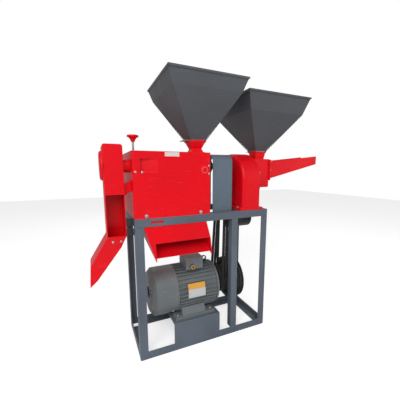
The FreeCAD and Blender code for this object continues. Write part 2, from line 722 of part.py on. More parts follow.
def belt(x, low_centre, low_radius, high_centre, high_radius):
    """One V belt: a wide outer band and a narrow inner band in the grooves."""
    top = s.belt_top.number
    bottom = s.belt_bottom.number
    tall = s.belt_tall.number
    layers = []
    for width, outside, inside in ((top, 0, tall / 2), ((top + bottom) / 2, tall / 2, tall)):
        ring = belt_loop(low_centre, low_radius - outside, high_centre, high_radius - outside)
        hole = belt_loop(low_centre, low_radius - inside, high_centre, high_radius - inside)
        band = ring.cut(hole).extrude(FreeCAD.Vector(width, 0, 0))
        band.translate(FreeCAD.Vector(x - width / 2, 0, 0))
        layers.append(band)
    return layers[0].fuse(layers[1]).removeSplitter()


def belts():
    """The belts hang on the stand's side of the joints and clear every groove."""
    motor = FreeCAD.Vector(0, s.motor_y.number, motor_z.number)
    mill = FreeCAD.Vector(0, s.mill_y.number, s.mill_z.number)
    crusher = FreeCAD.Vector(0, s.crusher_y.number, s.crusher_z.number)
    lift = s.belt_clearance.number
    small = s.small_step.number - lift
    first = s.mill_groove_one.number
    for label, places, centre, radius in (
            ("mill_belts", (first, first + s.groove_pitch.number), mill,
             s.mill_pulley_radius.number - lift),
            ("crusher_belt", (s.crusher_groove.number,), crusher,
             s.crusher_pulley_radius.number - lift)):
        loops = [belt(x, motor, small, centre, radius) for x in places]
        item = document.addObject("Part::Feature", label)
        item.Shape = loops[0] if len(loops) == 1 else Part.makeCompound(loops)
        place(item)


def belt_guard():
    """Bent strip that stands on the top rails and arches over the pulleys."""
    wall = s.guard_wall
    half = s.guard_deep / 2
    body = new_body("belt_guard")
    sketch = new_sketch(body, "YZ_Plane", s.guard_left)
    inner_bend = s.guard_bend - wall
    draw_rounded(sketch, [(-half, s.frame_tall, 0), (-half, s.guard_top, s.guard_bend),
                          (half, s.guard_top, s.guard_bend), (half, s.frame_tall, 0),
                          (half - wall, s.frame_tall, 0), (half - wall, s.guard_top - wall, inner_bend),
                          (wall - half, s.guard_top - wall, inner_bend), (wall - half, s.frame_tall, 0)])
    pad(body, sketch, s.guard_wide)


# ---------------------------------------------------------------- mill

def mill_housing():
    """Sheet housing, open below, that carries the milling head on its end walls."""
    wall = s.housing_wall
    left = s.housing_left
    body = box_body("mill_housing", left, housing_right, -frame_y, frame_y, s.frame_tall, s.housing_top)
    body.Tip = fillet_edges(body, body.Tip, s.housing_bend, lambda edge: along(edge, 2))
    cut_box(body, left + wall, housing_right - wall, wall - frame_y, frame_y - wall,
            s.frame_tall, s.housing_top - wall)
    scoop(body)
    roof = new_sketch(body, "XY_Plane", s.housing_top)
    half = s.shutter_half
    draw_rectangle(roof, s.mill_throat_x - half, s.mill_throat_y - half,
                   s.mill_throat_x + half, s.mill_throat_y + half)
    pocket(body, roof, wall * 2)
    nut = new_sketch(body, "XY_Plane", s.housing_top - wall)
    draw_circle(nut, s.knob_x, s.knob_y, s.nut_radius)
    pad(body, nut, s.nut_tall, backwards=True)
    thread = new_sketch(body, "XY_Plane", s.housing_top)
    draw_circle(thread, s.knob_x, s.knob_y, s.knob_rod + s.thread_gap)
    pocket(body, thread, wall + s.nut_tall)
    bore(body, left, wall, s.neck_tube_radius - s.neck_tube_wall, s.mill_y, s.mill_z)
    bore(body, housing_right - wall, wall, s.mill_shaft_radius + s.running_gap, s.mill_y, s.mill_z)
    cut_box(body, left, left + wall, s.mill_y - s.outlet_wide / 2 + s.outlet_wall,
            s.mill_y + s.outlet_wide / 2 - s.outlet_wall, s.outlet_low + s.outlet_wall,
            s.outlet_low + s.outlet_tall - s.outlet_wall)


def scoop(body):
    """Hand grip pressed into the front sheet, deepest at its left edge."""
    wall = s.housing_wall
    face = -frame_y
    left = s.scoop_left
    right = left + s.scoop_long
    for cut in (False, True):
        lip = 0 if cut else wall
        sketch = new_sketch(body, "XY_Plane", s.scoop_low - lip)
        draw_outline(sketch, [(left - lip, face), (right + lip, face),
                              (left - lip, face + s.scoop_deep + lip)])
        tall = s.scoop_tall + lip * 2
        if cut:
            pocket(body, sketch, tall, backwards=True)
        else:
            pad(body, sketch, tall)


def milling_chamber():
    """Cast barrel with a feed opening above, a screen window below and a saddle foot."""
    left = s.chamber_left
    right = housing_right - s.housing_wall
    radius = s.chamber_radius
    body = new_body("milling_chamber")
    disc(body, left, right - left, radius, s.mill_y, s.mill_z)
    disc(body, right - s.chamber_wall, s.chamber_wall, radius * 1.1, s.mill_y, s.mill_z)
    saddle = new_sketch(body, "YZ_Plane", left)
    draw_rectangle(saddle, s.housing_wall - frame_y, s.mill_z - radius * 1.5,
                   frame_y - s.housing_wall, s.mill_z - radius * 0.6)
    pad(body, saddle, s.chamber_wall)
    bore(body, left, right - left, radius - s.chamber_wall, s.mill_y, s.mill_z)
    feed = new_sketch(body, "XY_Plane", s.mill_z)
    half = s.mill_throat_waist
    draw_rectangle(feed, s.mill_throat_x - half, s.mill_y - half, s.mill_throat_x + half, s.mill_y + half)
    pocket(body, feed, radius * 2, backwards=True)
    window = new_sketch(body, "XY_Plane", s.mill_z)
    draw_rectangle(window, s.screen_left, s.mill_y - radius * 0.7,
                   s.screen_right, s.mill_y + radius * 0.7)
    pocket(body, window, radius * 2)


def milling_screen():
    """Half-round slotted screen that lines the lower half of the barrel."""
    outer = s.chamber_radius - s.chamber_wall
    body = new_body("milling_screen")
    length = s.screen_right - s.screen_left
    over = s.chamber_wall
    ring = new_sketch(body, "YZ_Plane", s.screen_left - over)
    draw_circle(ring, s.mill_y, s.mill_z, outer)
    draw_circle(ring, s.mill_y, s.mill_z, outer - s.screen_wall)
    pad(body, ring, length + over * 2)
    cut_box(body, s.screen_left - over, s.screen_right + over, s.mill_y - outer * 2,
            s.mill_y + outer * 2, s.mill_z, s.mill_z + outer * 2)
    slots = new_sketch(body, "XY_Plane", s.mill_z)
    pitch = length / SIZES["screen_slots"]
    for turn in range(SIZES["screen_slots"]):
        left = s.screen_left + pitch * turn + s.screen_slot
        draw_rectangle(slots, left, s.mill_y - outer * 0.55, left + s.screen_slot, s.mill_y + outer * 0.55)
    pocket(body, slots)


def mill_rotor():
    """Shaft with the feed screw, the ribbed milling roller and the blower wheel."""
    shaft = new_body("mill_shaft")
    disc(shaft, s.mill_shaft_left, s.mill_pulley_right - s.mill_shaft_left, s.mill_shaft_radius)
    place(shaft, 0, s.mill_y, s.mill_z)
    roller = new_body("milling_roller")
    ring = new_sketch(roller, "YZ_Plane", s.roller_left)
    draw_circle(ring, 0, 0, s.roller_radius)
    draw_circle(ring, 0, 0, s.mill_shaft_radius)
    pad(roller, ring, s.roller_long)
    rib = new_sketch(roller, "YZ_Plane", s.roller_left)
    half = s.rib_wide / 2
    draw_rectangle(rib, -half, s.roller_radius - 1, half, s.roller_radius + s.rib_tall)
    around_x(roller, pad(roller, rib, s.roller_long), s.rib_count)
    place(roller, 0, s.mill_y, s.mill_z)
    feed_screw()
    wheel = new_body("blower_wheel")
    disc(wheel, s.impeller_left, s.impeller_wall, s.impeller_radius)
    disc(wheel, s.impeller_left, s.impeller_wide, s.mill_shaft_radius * 1.5)
    blade = new_sketch(wheel, "YZ_Plane", s.impeller_left)
    half = s.impeller_wall / 2
    draw_rectangle(blade, -half, s.mill_shaft_radius, half, s.impeller_radius)
    around_x(wheel, pad(wheel, blade, s.impeller_wide), s.impeller_blades)
    bore(wheel, s.impeller_left, s.impeller_wide, s.mill_shaft_radius)
    place(wheel, 0, s.mill_y, s.mill_z)


def feed_screw():
    """Screw that pushes the grain from the feed opening into the roller."""
    core = s.mill_shaft_radius.number + s.flight_thick.number
    outer = s.screw_radius.number
    wide = s.flight_thick.number
    turns_long = s.screw_long.number - wide
    steps = 12
    count = int(turns_long / s.screw_pitch.number * steps)
    stations = []
    for number in range(count + 1):
        turn = 2 * math.pi * number / steps
        rise = turns_long * number / count
        across = FreeCAD.Vector(math.cos(turn), math.sin(turn), 0)
        stations.append([across * radius + FreeCAD.Vector(0, 0, rise + lift)
                         for radius, lift in ((core - 2, 0), (outer, 0), (outer, wide), (core - 2, wide))])
    faces = [stations[0], stations[-1]]
    for here, there in zip(stations, stations[1:]):
        for index in range(4):
            after = (index + 1) % 4
            faces.append([here[index], here[after], there[after]])
            faces.append([here[index], there[after], there[index]])
    flight = Part.Solid(Part.Shell([Part.Face(Part.makePolygon(points + points[:1])) for points in faces]))
    barrel = Part.makeCylinder(core, s.screw_long.number)
    barrel = barrel.cut(Part.makeCylinder(s.mill_shaft_radius.number, s.screw_long.number))
    item = document.addObject("Part::Feature", "feed_screw")
    item.Shape = barrel.fuse(flight)
    item.Placement = FreeCAD.Placement(FreeCAD.Vector(0, 0, 0),
                                       FreeCAD.Rotation(FreeCAD.Vector(0, 1, 0), 90))
    place(item, s.roller_left + s.roller_long, s.mill_y, s.mill_z)


def mill_bearings():
    """Flange bearings on the housing's end walls, and the tube between housing and column."""
    ring_bore = s.mill_shaft_radius + s.running_gap / 8
    right = new_body("right_bearing")
    disc(right, housing_right, s.right_bearing_long, s.bearing_radius, s.mill_y, s.mill_z)
    disc(right, housing_right, s.right_bearing_long / 4, s.bearing_radius * 1.3, s.mill_y, s.mill_z)
    bore(right, housing_right, s.right_bearing_long, ring_bore, s.mill_y, s.mill_z)
    left = new_body("left_bearing")
    start = s.housing_left + s.housing_wall
    disc(left, start, s.left_bearing_long, s.left_bearing_radius, s.mill_y, s.mill_z)
    bore(left, start, s.left_bearing_long, ring_bore, s.mill_y, s.mill_z)
    group("mill_bearings", [right, left])
    tube = new_body("neck_tube")
    ring = new_sketch(tube, "YZ_Plane", column_right)
    draw_circle(ring, s.mill_y, s.mill_z, s.neck_tube_radius)
    draw_circle(ring, s.mill_y, s.mill_z, s.neck_tube_radius - s.neck_tube_wall)
    pad(tube, ring, s.housing_left - column_right)


def rice_outlet():
    """Short sloping duct from the housing down into the column."""
    low = s.outlet_low
    top = low + s.outlet_tall
    wall = s.outlet_wall
    drop = s.outlet_drop
    half = s.outlet_wide / 2
    body = new_body("rice_outlet")
    for reach, cut in ((half, False), (half - wall, True)):
        inset = wall if cut else 0
        sketch = new_sketch(body, "XZ_Plane", -s.mill_y)
        draw_outline(sketch, [(column_right, low - drop + inset), (s.housing_left, low + inset),
                              (s.housing_left, top - inset), (column_right, top - drop - inset)])
        if cut:
            pocket(body, sketch, reach * 2, midplane=True)
        else:
            pad(body, sketch, reach * 2, midplane=True)


def air_column():
    """Tall casing: blower wheel above, open trough for the clean rice below."""
    left = s.column_left
    wall = s.column_wall
    body = box_body("air_column", left, column_right, s.column_front, column_back,
                    s.column_low, s.column_top)
    body.Tip = fillet_edges(body, body.Tip, s.column_round,
                            lambda edge: along(edge, 1) and edge.BoundBox.ZMin > s.column_top.number - 1)
    disc(body, left - s.dish_deep, s.dish_deep, s.dish_radius, s.mill_y, s.mill_z)
    rim = body.Tip
    body.Tip = fillet_edges(body, rim, s.dish_deep * 0.8,
                            lambda edge: edge.BoundBox.XMax < left.number - s.dish_deep.number + 0.1)
    cut_box(body, left + wall, column_right - wall, s.column_front + wall, column_back - wall,
            s.column_low, s.column_top - wall)
    bore(body, left - s.dish_deep + wall, s.dish_deep, s.dish_radius - s.dish_deep, s.mill_y, s.mill_z)
    bore(body, column_right - wall, wall, s.neck_tube_radius - s.neck_tube_wall, s.mill_y, s.mill_z)
    low = s.outlet_low - s.outlet_drop + s.outlet_wall
    cut_box(body, column_right - wall, column_right, s.mill_y - s.outlet_wide / 2 + s.outlet_wall,
            s.mill_y + s.outlet_wide / 2 - s.outlet_wall, low, low + s.outlet_tall - s.outlet_wall * 2)
    cut_box(body, left + wall, column_right - wall, s.column_front, s.column_front + wall,
            s.column_low, s.column_mouth)


def rice_chute():
    """Closed spout that bends from the column's foot to the left."""
    low = s.column_low
    wall = s.column_wall
    lip_x = s.column_left - s.chute_reach
    lip_low = low - s.chute_drop
    outside = [(s.column_left, low), (column_right, low), (column_right - wall * 8, low - wall * 16),
               (lip_x + wall * 10, lip_low + wall * 9), (lip_x, lip_low),
               (lip_x + wall * 2, lip_low + wall * 30)]
    inside = [(s.column_left + wall, low), (column_right - wall, low),
              (column_right - wall * 9.2, low - wall * 15.6), (lip_x + wall * 9.6, lip_low + wall * 10.6),
              (lip_x, lip_low + wall * 1.6), (lip_x + wall * 2, lip_low + wall * 28.6)]
    body = new_body("rice_chute")
    sketch = new_sketch(body, "XZ_Plane", -s.column_front)
    draw_outline(sketch, outside)
    pad(body, sketch, s.column_deep, backwards=True)
    hollow = new_sketch(body, "XZ_Plane", -(s.column_front + wall))
    draw_outline(hollow, inside)
    pocket(body, hollow, s.column_deep - wall * 2)
    brackets = [box_body("bracket_low", column_right, -frame_x, s.column_front,
                         s.column_front + s.bracket_wall, low, low + s.bracket_wall * 6),
                box_body("bracket_high", column_right, -frame_x, s.column_front,
                         s.column_front + s.bracket_wall, rail_low + s.bracket_wall, s.frame_tall)]
    group("column_brackets", brackets)


def outlet_gate():
    """Plate that slides up before the rice outlet, lifted by the knob's screw."""
    left = s.housing_left + s.housing_wall + s.running_gap
    right = s.knob_x + s.knob_rod * 1.5
    body = box_body("outlet_gate", left, left + s.gate_thick, s.gate_front, s.gate_front + s.gate_wide,
                    s.gate_low, s.gate_low + s.gate_tall)
    lug = new_sketch(body, "XY_Plane", s.gate_low + s.gate_tall)
    draw_rectangle(lug, left, s.knob_y - s.nut_radius, right, s.knob_y + s.nut_radius)
    pad(body, lug, s.gate_thick, backwards=True)


def outlet_knob():
    """Disc knob with a cone below it, on the gate's screw."""
    foot = s.gate_low + s.gate_tall
    rod = s.knob_rod
    neck = s.knob_low + s.knob_tall * 0.35
    edge = s.knob_tall * 0.3
    body = new_body("outlet_knob")
    sketch = new_sketch(body, "XZ_Plane")
    draw_outline(sketch, [(0, foot), (rod, foot), (rod, s.knob_low), (rod * 1.3, s.knob_low),
                          (s.knob_radius * 0.55, neck), (s.knob_radius, neck),
                          (s.knob_radius, neck + edge), (s.knob_radius * 0.7, s.knob_low + s.knob_tall),
                          (0, s.knob_low + s.knob_tall)])
    revolve(body, sketch, "Z_Axis")
    place(body, s.knob_x, s.knob_y, 0)


def bran_chute():
    """Sheet chute under the housing; it narrows and runs forward to an open mouth."""
    front = s.angle_wall - frame_y
    back = frame_y - s.angle_leg
    top = s.frame_tall - s.angle_wall
    middle = (back + s.bran_mouth_front) / 2
    sections = [(s.bran_low, s.bran_left + s.bran_taper, s.bran_right + s.bran_spread,
                 s.bran_mouth_front, s.bran_mouth_front + s.bran_wall * 3),
                (s.bran_lip, s.bran_left + s.bran_taper / 2, s.bran_right + s.bran_spread,
                 s.bran_lip_front, middle),
                (s.bran_top, s.bran_left, s.bran_right, front, back),
                (top, s.bran_left, s.bran_right, front, back)]
    body = tapered_shell("bran_chute", sections, s.bran_wall)
    cut_box(body, s.bran_left + s.bran_taper + s.bran_wall, s.bran_right + s.bran_spread - s.bran_wall,
            s.bran_mouth_front - s.bran_wall, s.bran_lip_front + s.bran_wall * 2, s.bran_low, s.bran_lip)


# ---------------------------------------------------------------- throats and hoppers

def square_levels(levels, x, y, inset=0):
    """Outline of a square of each half width at each level, set in by the inset."""
    return [(level, x - half + inset, x + half - inset, y - half + inset, y + half - inset)
            for level, half in levels]


def throat(label, x, y, low, tall, foot, waist, waist_level, head, foot_plate):
    """Cast neck: a foot flange, a waist, a head flange and two guides for the shutter."""
    wall = s.throat_wall
    top = low + tall
    body = new_body(label)
    levels = [(low, foot), (low + waist_level, waist), (top, head - wall)]
    outside = square_levels(levels, x, y)
    inside = square_levels(levels, x, y, wall)
    for part_low, part_high in zip(outside, outside[1:]):
        wedge(body, part_low, part_high)
    plates = [(top, s.flange_thick, head)]
    if foot_plate:
        plates.append((low, s.flange_thick, foot + wall))
    for level, thick, half in plates:
        plate = new_sketch(body, "XY_Plane", level)
        draw_rectangle(plate, x - half, y - half, x + half, y + half)
        pad(body, plate, thick)
    for part_low, part_high in zip(inside, inside[1:]):
        wedge(body, part_low, part_high, cut=True)
    hole = new_sketch(body, "XY_Plane", top + s.flange_thick)
    half = s.shutter_half
    draw_rectangle(hole, x - half, y - half, x + half, y + half)
    pocket(body, hole, s.flange_thick)
    return body


def guides(body, x, y, level, head, slides_along):
    """Two strips that keep the shutter's slot open under the hopper."""
    sketch = new_sketch(body, "XY_Plane", level)
    inner = s.shutter_half + s.throat_wall
    for side in (-1, 1):
        near, far = inner * side, head * side
        if slides_along == "x":
            draw_rectangle(sketch, x - head, y + near, x + head, y + far)
        else:
            draw_rectangle(sketch, x + near, y - head, x + far, y + head)
    pad(body, sketch, shutter_slot)


def throats():
    mill = throat("mill_throat", s.mill_throat_x, s.mill_throat_y, s.housing_top, s.mill_throat_tall,
                  s.mill_throat_foot, s.mill_throat_waist, s.mill_throat_tall * 0.4,
                  s.mill_throat_top, True)
    guides(mill, s.mill_throat_x, s.mill_throat_y, mill_throat_top_z + s.flange_thick,
           s.mill_throat_top, "x")
    crusher = throat("crusher_throat", s.crusher_throat_x, s.crusher_throat_y, s.mouth_top,
                     s.crusher_throat_tall, s.crusher_throat_low, s.crusher_throat_low + 1,
                     s.crusher_throat_tall * 0.2, s.crusher_throat_top, False)
    guides(crusher, s.crusher_throat_x, s.crusher_throat_y, crusher_hopper_low - shutter_slot,
           s.crusher_throat_top, "y")


def shutters():
    """Thin plates that close the throats, each with a tab to pull."""
    half = s.shutter_half
    side = half + s.throat_wall - s.shutter_gap
    low = mill_throat_top_z + s.flange_thick + s.shutter_gap
    x, y = s.mill_throat_x, s.mill_throat_y
    tab = s.mill_throat_top + s.shutter_tab
    plate = box_body("mill_shutter", x - tab, x + half + 2, y - side, y + side, low, low + s.shutter_thick)
    hole = new_sketch(plate, "XY_Plane", low + s.shutter_thick)
    draw_circle(hole, x - tab + s.shutter_tab / 2, y, s.shutter_tab / 4)
    pocket(plate, hole, s.shutter_thick)
    low = crusher_hopper_low - shutter_slot + s.shutter_gap
    x, y = s.crusher_throat_x, s.crusher_throat_y
    half = s.crusher_throat_top - s.throat_wall * 2
    tab = s.crusher_throat_top + s.shutter_tab
    plate = box_body("crusher_shutter", x - side, x + side, y - half - 2, y + tab, low, low + s.shutter_thick)
    hole = new_sketch(plate, "XY_Plane", low + s.shutter_thick)
    draw_circle(hole, x, y + tab - s.shutter_tab / 2, s.shutter_tab / 4)
    pocket(plate, hole, s.shutter_thick)


def hopper(label, x, y, low, knee, rim, foot, half, taper):
    """Four-sided sheet hopper with a steep band above its pyramid and a folded rim."""
    square = [(low, foot), (low + s.flange_thick, foot), (knee, half - taper), (rim, half)]
    body = tapered_shell(label, square_levels(square, x, y), s.hopper_wall)
    edge = new_sketch(body, "XY_Plane", rim)
    outer = half + s.hopper_wall
    inner = half - s.hopper_wall
    draw_rectangle(edge, x - outer, y - outer, x + outer, y + outer)
    draw_rectangle(edge, x - inner, y - inner, x + inner, y + inner)
    pad(body, edge, s.hopper_lip, backwards=True)


def hoppers():
    hopper("mill_hopper", s.mill_throat_x, s.mill_throat_y, mill_hopper_low, s.mill_hopper_knee,
           s.mill_hopper_rim, s.mill_throat_top, s.mill_hopper_half, s.mill_hopper_taper)
    hopper("crusher_hopper", s.crusher_throat_x, s.crusher_throat_y, crusher_hopper_low,
           s.crusher_hopper_knee, s.crusher_hopper_rim, s.crusher_throat_top,
           s.crusher_hopper_half, s.crusher_hopper_taper)


# ---------------------------------------------------------------- crusher

def crusher_casing():
    """Round-topped casting on a plinth, with its bearing hub and an outlet below."""
    left, right = s.casing_left, s.casing_right
    radius = s.casing_radius
    body = new_body("crusher_casing")
    disc(body, left, right - left, radius, s.crusher_y, s.crusher_z)
    lower = new_sketch(body, "YZ_Plane", left)
    draw_rectangle(lower, s.crusher_y - radius, s.frame_tall, s.crusher_y + radius, s.crusher_z)
    arch = pad(body, lower, right - left)

    def on_left(edge):
        return edge.BoundBox.XMax < left.number + 0.01 and edge.BoundBox.ZMax > s.frame_tall.number + 1

    def on_right(edge):
        return edge.BoundBox.XMin > right.number - 0.01 and edge.BoundBox.ZMax > s.frame_tall.number + 1

    rounded = fillet_edges(body, arch, s.casing_round, on_left)
    body.Tip = rounded
    body.Tip = fillet_edges(body, rounded, s.casing_round / 2, on_right)
    plinth = new_sketch(body, "XY_Plane", s.frame_tall)
    draw_rectangle(plinth, s.plinth_left, -s.plinth_front, s.plinth_right, s.plinth_front)
    pad(body, plinth, s.plinth_tall)
    disc(body, s.hub_left, left - s.hub_left, s.crusher_hub_radius, s.crusher_y, s.crusher_z)
    bore(body, left + s.casing_wall, right - left - s.casing_wall, cavity_radius, s.crusher_y, s.crusher_z)
    bore(body, s.hub_left, left + s.casing_wall - s.hub_left,
         s.crusher_shaft_radius + s.running_gap / 8, s.crusher_y, s.crusher_z)
    middle = (left + s.casing_wall + right) / 2
    cut_box(body, middle - s.outlet_half_x, middle + s.outlet_half_x, -s.outlet_half_y, s.outlet_half_y,
            s.frame_tall, s.crusher_z)


def draw_claw(sketch, ring):
    """Square claw at the given distance from the shaft line."""
    half = s.claw_radius
    draw_rectangle(sketch, -half, ring - half, half, ring + half)


def crusher_cover():
    """Bolted end cover with the inlet and a ring of fixed claws."""
    start = s.casing_right
    body = new_body("crusher_cover")
    disc(body, start, s.cover_thick, s.cover_radius)
    claw = new_sketch(body, "YZ_Plane", start)
    draw_claw(claw, s.cover_claw_ring)
    around_x(body, pad(body, claw, s.claw_long, backwards=True), s.cover_claws)
    bore(body, start, s.cover_thick, s.inlet_radius)
    place(body, 0, s.crusher_y, s.crusher_z)


def crusher_rotor():
    """Claw disc and its shaft."""
    shaft = new_body("crusher_shaft")
    end = s.rotor_left + s.rotor_thick * 2
    disc(shaft, s.crusher_pulley_left, end - s.crusher_pulley_left, s.crusher_shaft_radius)
    place(shaft, 0, s.crusher_y, s.crusher_z)
    body = new_body("claw_disc")
    disc(body, s.rotor_left, s.rotor_thick, s.rotor_radius)
    disc(body, s.rotor_left, s.rotor_thick * 2, s.crusher_shaft_radius * 1.8)
    face = s.rotor_left + s.rotor_thick
    for ring, count in ((s.outer_claw_ring, s.outer_claws), (s.inner_claw_ring, s.inner_claws)):
        claw = new_sketch(body, "YZ_Plane", face)
        draw_claw(claw, ring)
        around_x(body, pad(body, claw, s.claw_long), count)
    bore(body, s.rotor_left, s.rotor_thick * 2, s.crusher_shaft_radius)
    place(body, 0, s.crusher_y, s.crusher_z)


def crusher_sieve():
    """Slotted ring around the claws."""
    body = new_body("crusher_sieve")
    start = s.casing_left + s.casing_wall
    ring = new_sketch(body, "YZ_Plane", start)
    draw_circle(ring, 0, 0, s.sieve_radius)
    draw_circle(ring, 0, 0, s.sieve_radius - s.sieve_wall)
    pad(body, ring, s.casing_right - start)
    slot = new_sketch(body, "YZ_Plane", start + s.sieve_slot * 2)
    half = s.sieve_slot / 2
    draw_rectangle(slot, -half, s.sieve_radius - s.sieve_wall * 2, half, s.sieve_radius + s.sieve_wall)
    cut = pocket(body, slot, s.casing_right - start - s.sieve_slot * 4, backwards=True)
    around_x(body, cut, s.sieve_slots)
    place(body, 0, s.crusher_y, s.crusher_z)


def feed_mouth():
    """Cast box on the cover: hopper above, tray at its side, inlet behind."""
    left = s.casing_right + s.cover_thick
    wall = s.mouth_wall
    back = s.mouth_front + s.mouth_deep
    body = box_body("feed_mouth", left, s.mouth_right, s.mouth_front, back, s.mouth_low, s.mouth_top)
    body.Tip = fillet_edges(body, body.Tip, s.mouth_wall * 2,
                            lambda edge: along(edge, 0) and edge.BoundBox.ZMax < s.mouth_top.number - 1)
    cut_box(body, left + wall, s.mouth_right - wall, s.mouth_front + wall, back - wall,
            s.mouth_low + wall, s.mouth_top - wall)
    bore(body, left, wall, s.inlet_radius, s.crusher_y, s.crusher_z)
    half = s.crusher_throat_low - s.throat_wall
    cut_box(body, s.crusher_throat_x - half, s.crusher_throat_x + half, s.crusher_throat_y - half,
            s.crusher_throat_y + half, s.mouth_top - wall, s.mouth_top)
    cut_box(body, s.mouth_right - wall, s.mouth_right, s.mouth_front + wall, back - wall,
            s.tray_window_low, s.tray_window_top)


def feed_tray():
    """Long open tray whose floor falls towards the feed mouth."""
    wall = s.tray_wall
    body = new_body("feed_tray")
    sketch = new_sketch(body, "XZ_Plane", -s.mouth_front)
    draw_outline(sketch, [(s.mouth_right, s.tray_low_in), (s.tray_end, s.tray_low_out),
                          (s.tray_end, s.tray_top_out), (s.mouth_right, s.tray_top_in)])
    pad(body, sketch, s.mouth_deep, backwards=True)
    hollow = new_sketch(body, "XZ_Plane", -(s.mouth_front + wall))
    draw_outline(hollow, [(s.mouth_right, s.tray_low_in + wall), (s.tray_end, s.tray_low_out + wall),
                          (s.tray_end, s.tray_top_out + wall), (s.mouth_right, s.tray_top_in + wall)])
    pocket(body, hollow, s.mouth_deep - wall * 2)


def discharge_hood():
    """Rounded sheet hood under the crusher, open at its foot."""
    wall = s.hood_wall
    left = s.casing_left + wall
    right = s.casing_right - wall
    half = s.outlet_half_y + wall * 4
    low = s.frame_tall - s.hood_tall
    body = new_body("discharge_hood")
    bend = half * 0.7
    for cut in (False, True):
        inset = wall if cut else 0
        sketch = new_sketch(body, "YZ_Plane", left + inset)
        reach = half - inset
        draw_rounded(sketch, [(-reach, s.frame_tall, 0), (-reach, low + inset, bend - inset),
                              (reach, low + inset, bend - inset), (reach, s.frame_tall, 0)])
        if cut:
            pocket(body, sketch, right - left - wall * 2, backwards=True)
        else:
            pad(body, sketch, right - left)
    middle = (left + right) / 2
    cut_box(body, middle - s.outlet_half_x, middle + s.outlet_half_x, bend - half + wall,
            half - bend - wall, low, low + wall)


# ---------------------------------------------------------------- fasteners

def hex_head(label, x, y, z, direction):
    """Bolt head that stands on a face and points along direction."""
    item = document.addObject("Part::Prism", label)
    item.Polygon = 6
    bind(item, "Circumradius", s.head_radius)
    bind(item, "Height", s.head_tall)
    item.Placement = FreeCAD.Placement(FreeCAD.Vector(0, 0, 0),
                                       FreeCAD.Rotation(FreeCAD.Vector(0, 0, 1), direction))
    place(item, x, y, z)
    return item


def fasteners():
    up = FreeCAD.Vector(0, 0, 1)
    forward = FreeCAD.Vector(0, -1, 0)
    right = FreeCAD.Vector(1, 0, 0)
    bolts = []
    foot_top = stool_top + s.foot_thick
    for x in (s.foot_bolt_left, s.foot_bolt_left + s.foot_bolt_pitch):
        for side in (-1, 1):
            y = s.motor_y + s.foot_bolt_out * side
            shank = plain_cylinder("motor_shank", s.foot_bolt_radius, s.foot_thick + s.stool_wall * 2,
                                   x, y, stool_top - s.stool_wall * 2)
            bolt = document.addObject("Part::MultiFuse", "motor_bolt")
            bolt.Shapes = [shank, hex_head("motor_head", x, y, foot_top, up)]
            bolts.append(bolt)
    group("motor_bolts", bolts)
    housing = [hex_head("housing_head", x, -frame_y, s.frame_tall + s.head_radius * 1.5, forward)
               for x in (s.housing_left + s.angle_leg * 1.4, housing_right - s.angle_leg * 1.4)]
    group("housing_bolts", housing)
    feet = [hex_head("plinth_head", s.plinth_left + s.plinth_edge, side * s.plinth_bolt,
                     s.frame_tall + s.plinth_tall, up) for side in (-1, 1)]
    group("plinth_bolts", feet)
    ring = []
    for turn in range(SIZES["cover_bolt_count"]):
        angle = math.radians(SIZES["cover_bolt_start"] + SIZES["cover_bolt_pitch"] * turn)
        scale_y, scale_z = math.sin(angle), math.cos(angle)
        offset = s.cover_radius - s.head_radius - 1
        ring.append(hex_head("cover_head", s.casing_right + s.cover_thick,
                             s.crusher_y + offset * scale_y, s.crusher_z + offset * scale_z, right))
    group("cover_bolts", ring)


stand()
motor_stool()
motor_stator()
motor_drive_bell()
motor_fan_cover()
motor_rotor()
terminal_box()
lifting_eye()
pulleys()
belts()
belt_guard()
mill_housing()
milling_chamber()
milling_screen()
mill_rotor()
mill_bearings()
rice_outlet()
air_column()
rice_chute()
outlet_gate()
outlet_knob()
bran_chute()
throats()
shutters()
hoppers()
crusher_casing()
crusher_cover()
crusher_rotor()
crusher_sieve()
feed_mouth()
feed_tray()
discharge_hood()
fasteners()


# ---------------------------------------------------------------- check and write

document.recompute()
sub_parts = [item for item in document.Objects if hasattr(item, "Shape") and not item.InList]
for item in document.Objects:
    if "Invalid" in item.State or "Error" in item.State:
        raise RuntimeError("%s could not be built: %s" % (item.Label, item.State))
for item in sub_parts:
    if item.Shape.isNull() or not item.Shape.isValid() or not item.Shape.Solids:
        raise RuntimeError("%s has no valid solid" % item.Label)
os.makedirs("parts", exist_ok=True)
for item in sub_parts:
    item.Shape.exportStep("parts/%s.step" % item.Label)
print("%d sub-parts written" % len(sub_parts))
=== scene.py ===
import json
import math

import bpy
import numpy as np
from mathutils import Matrix, Vector


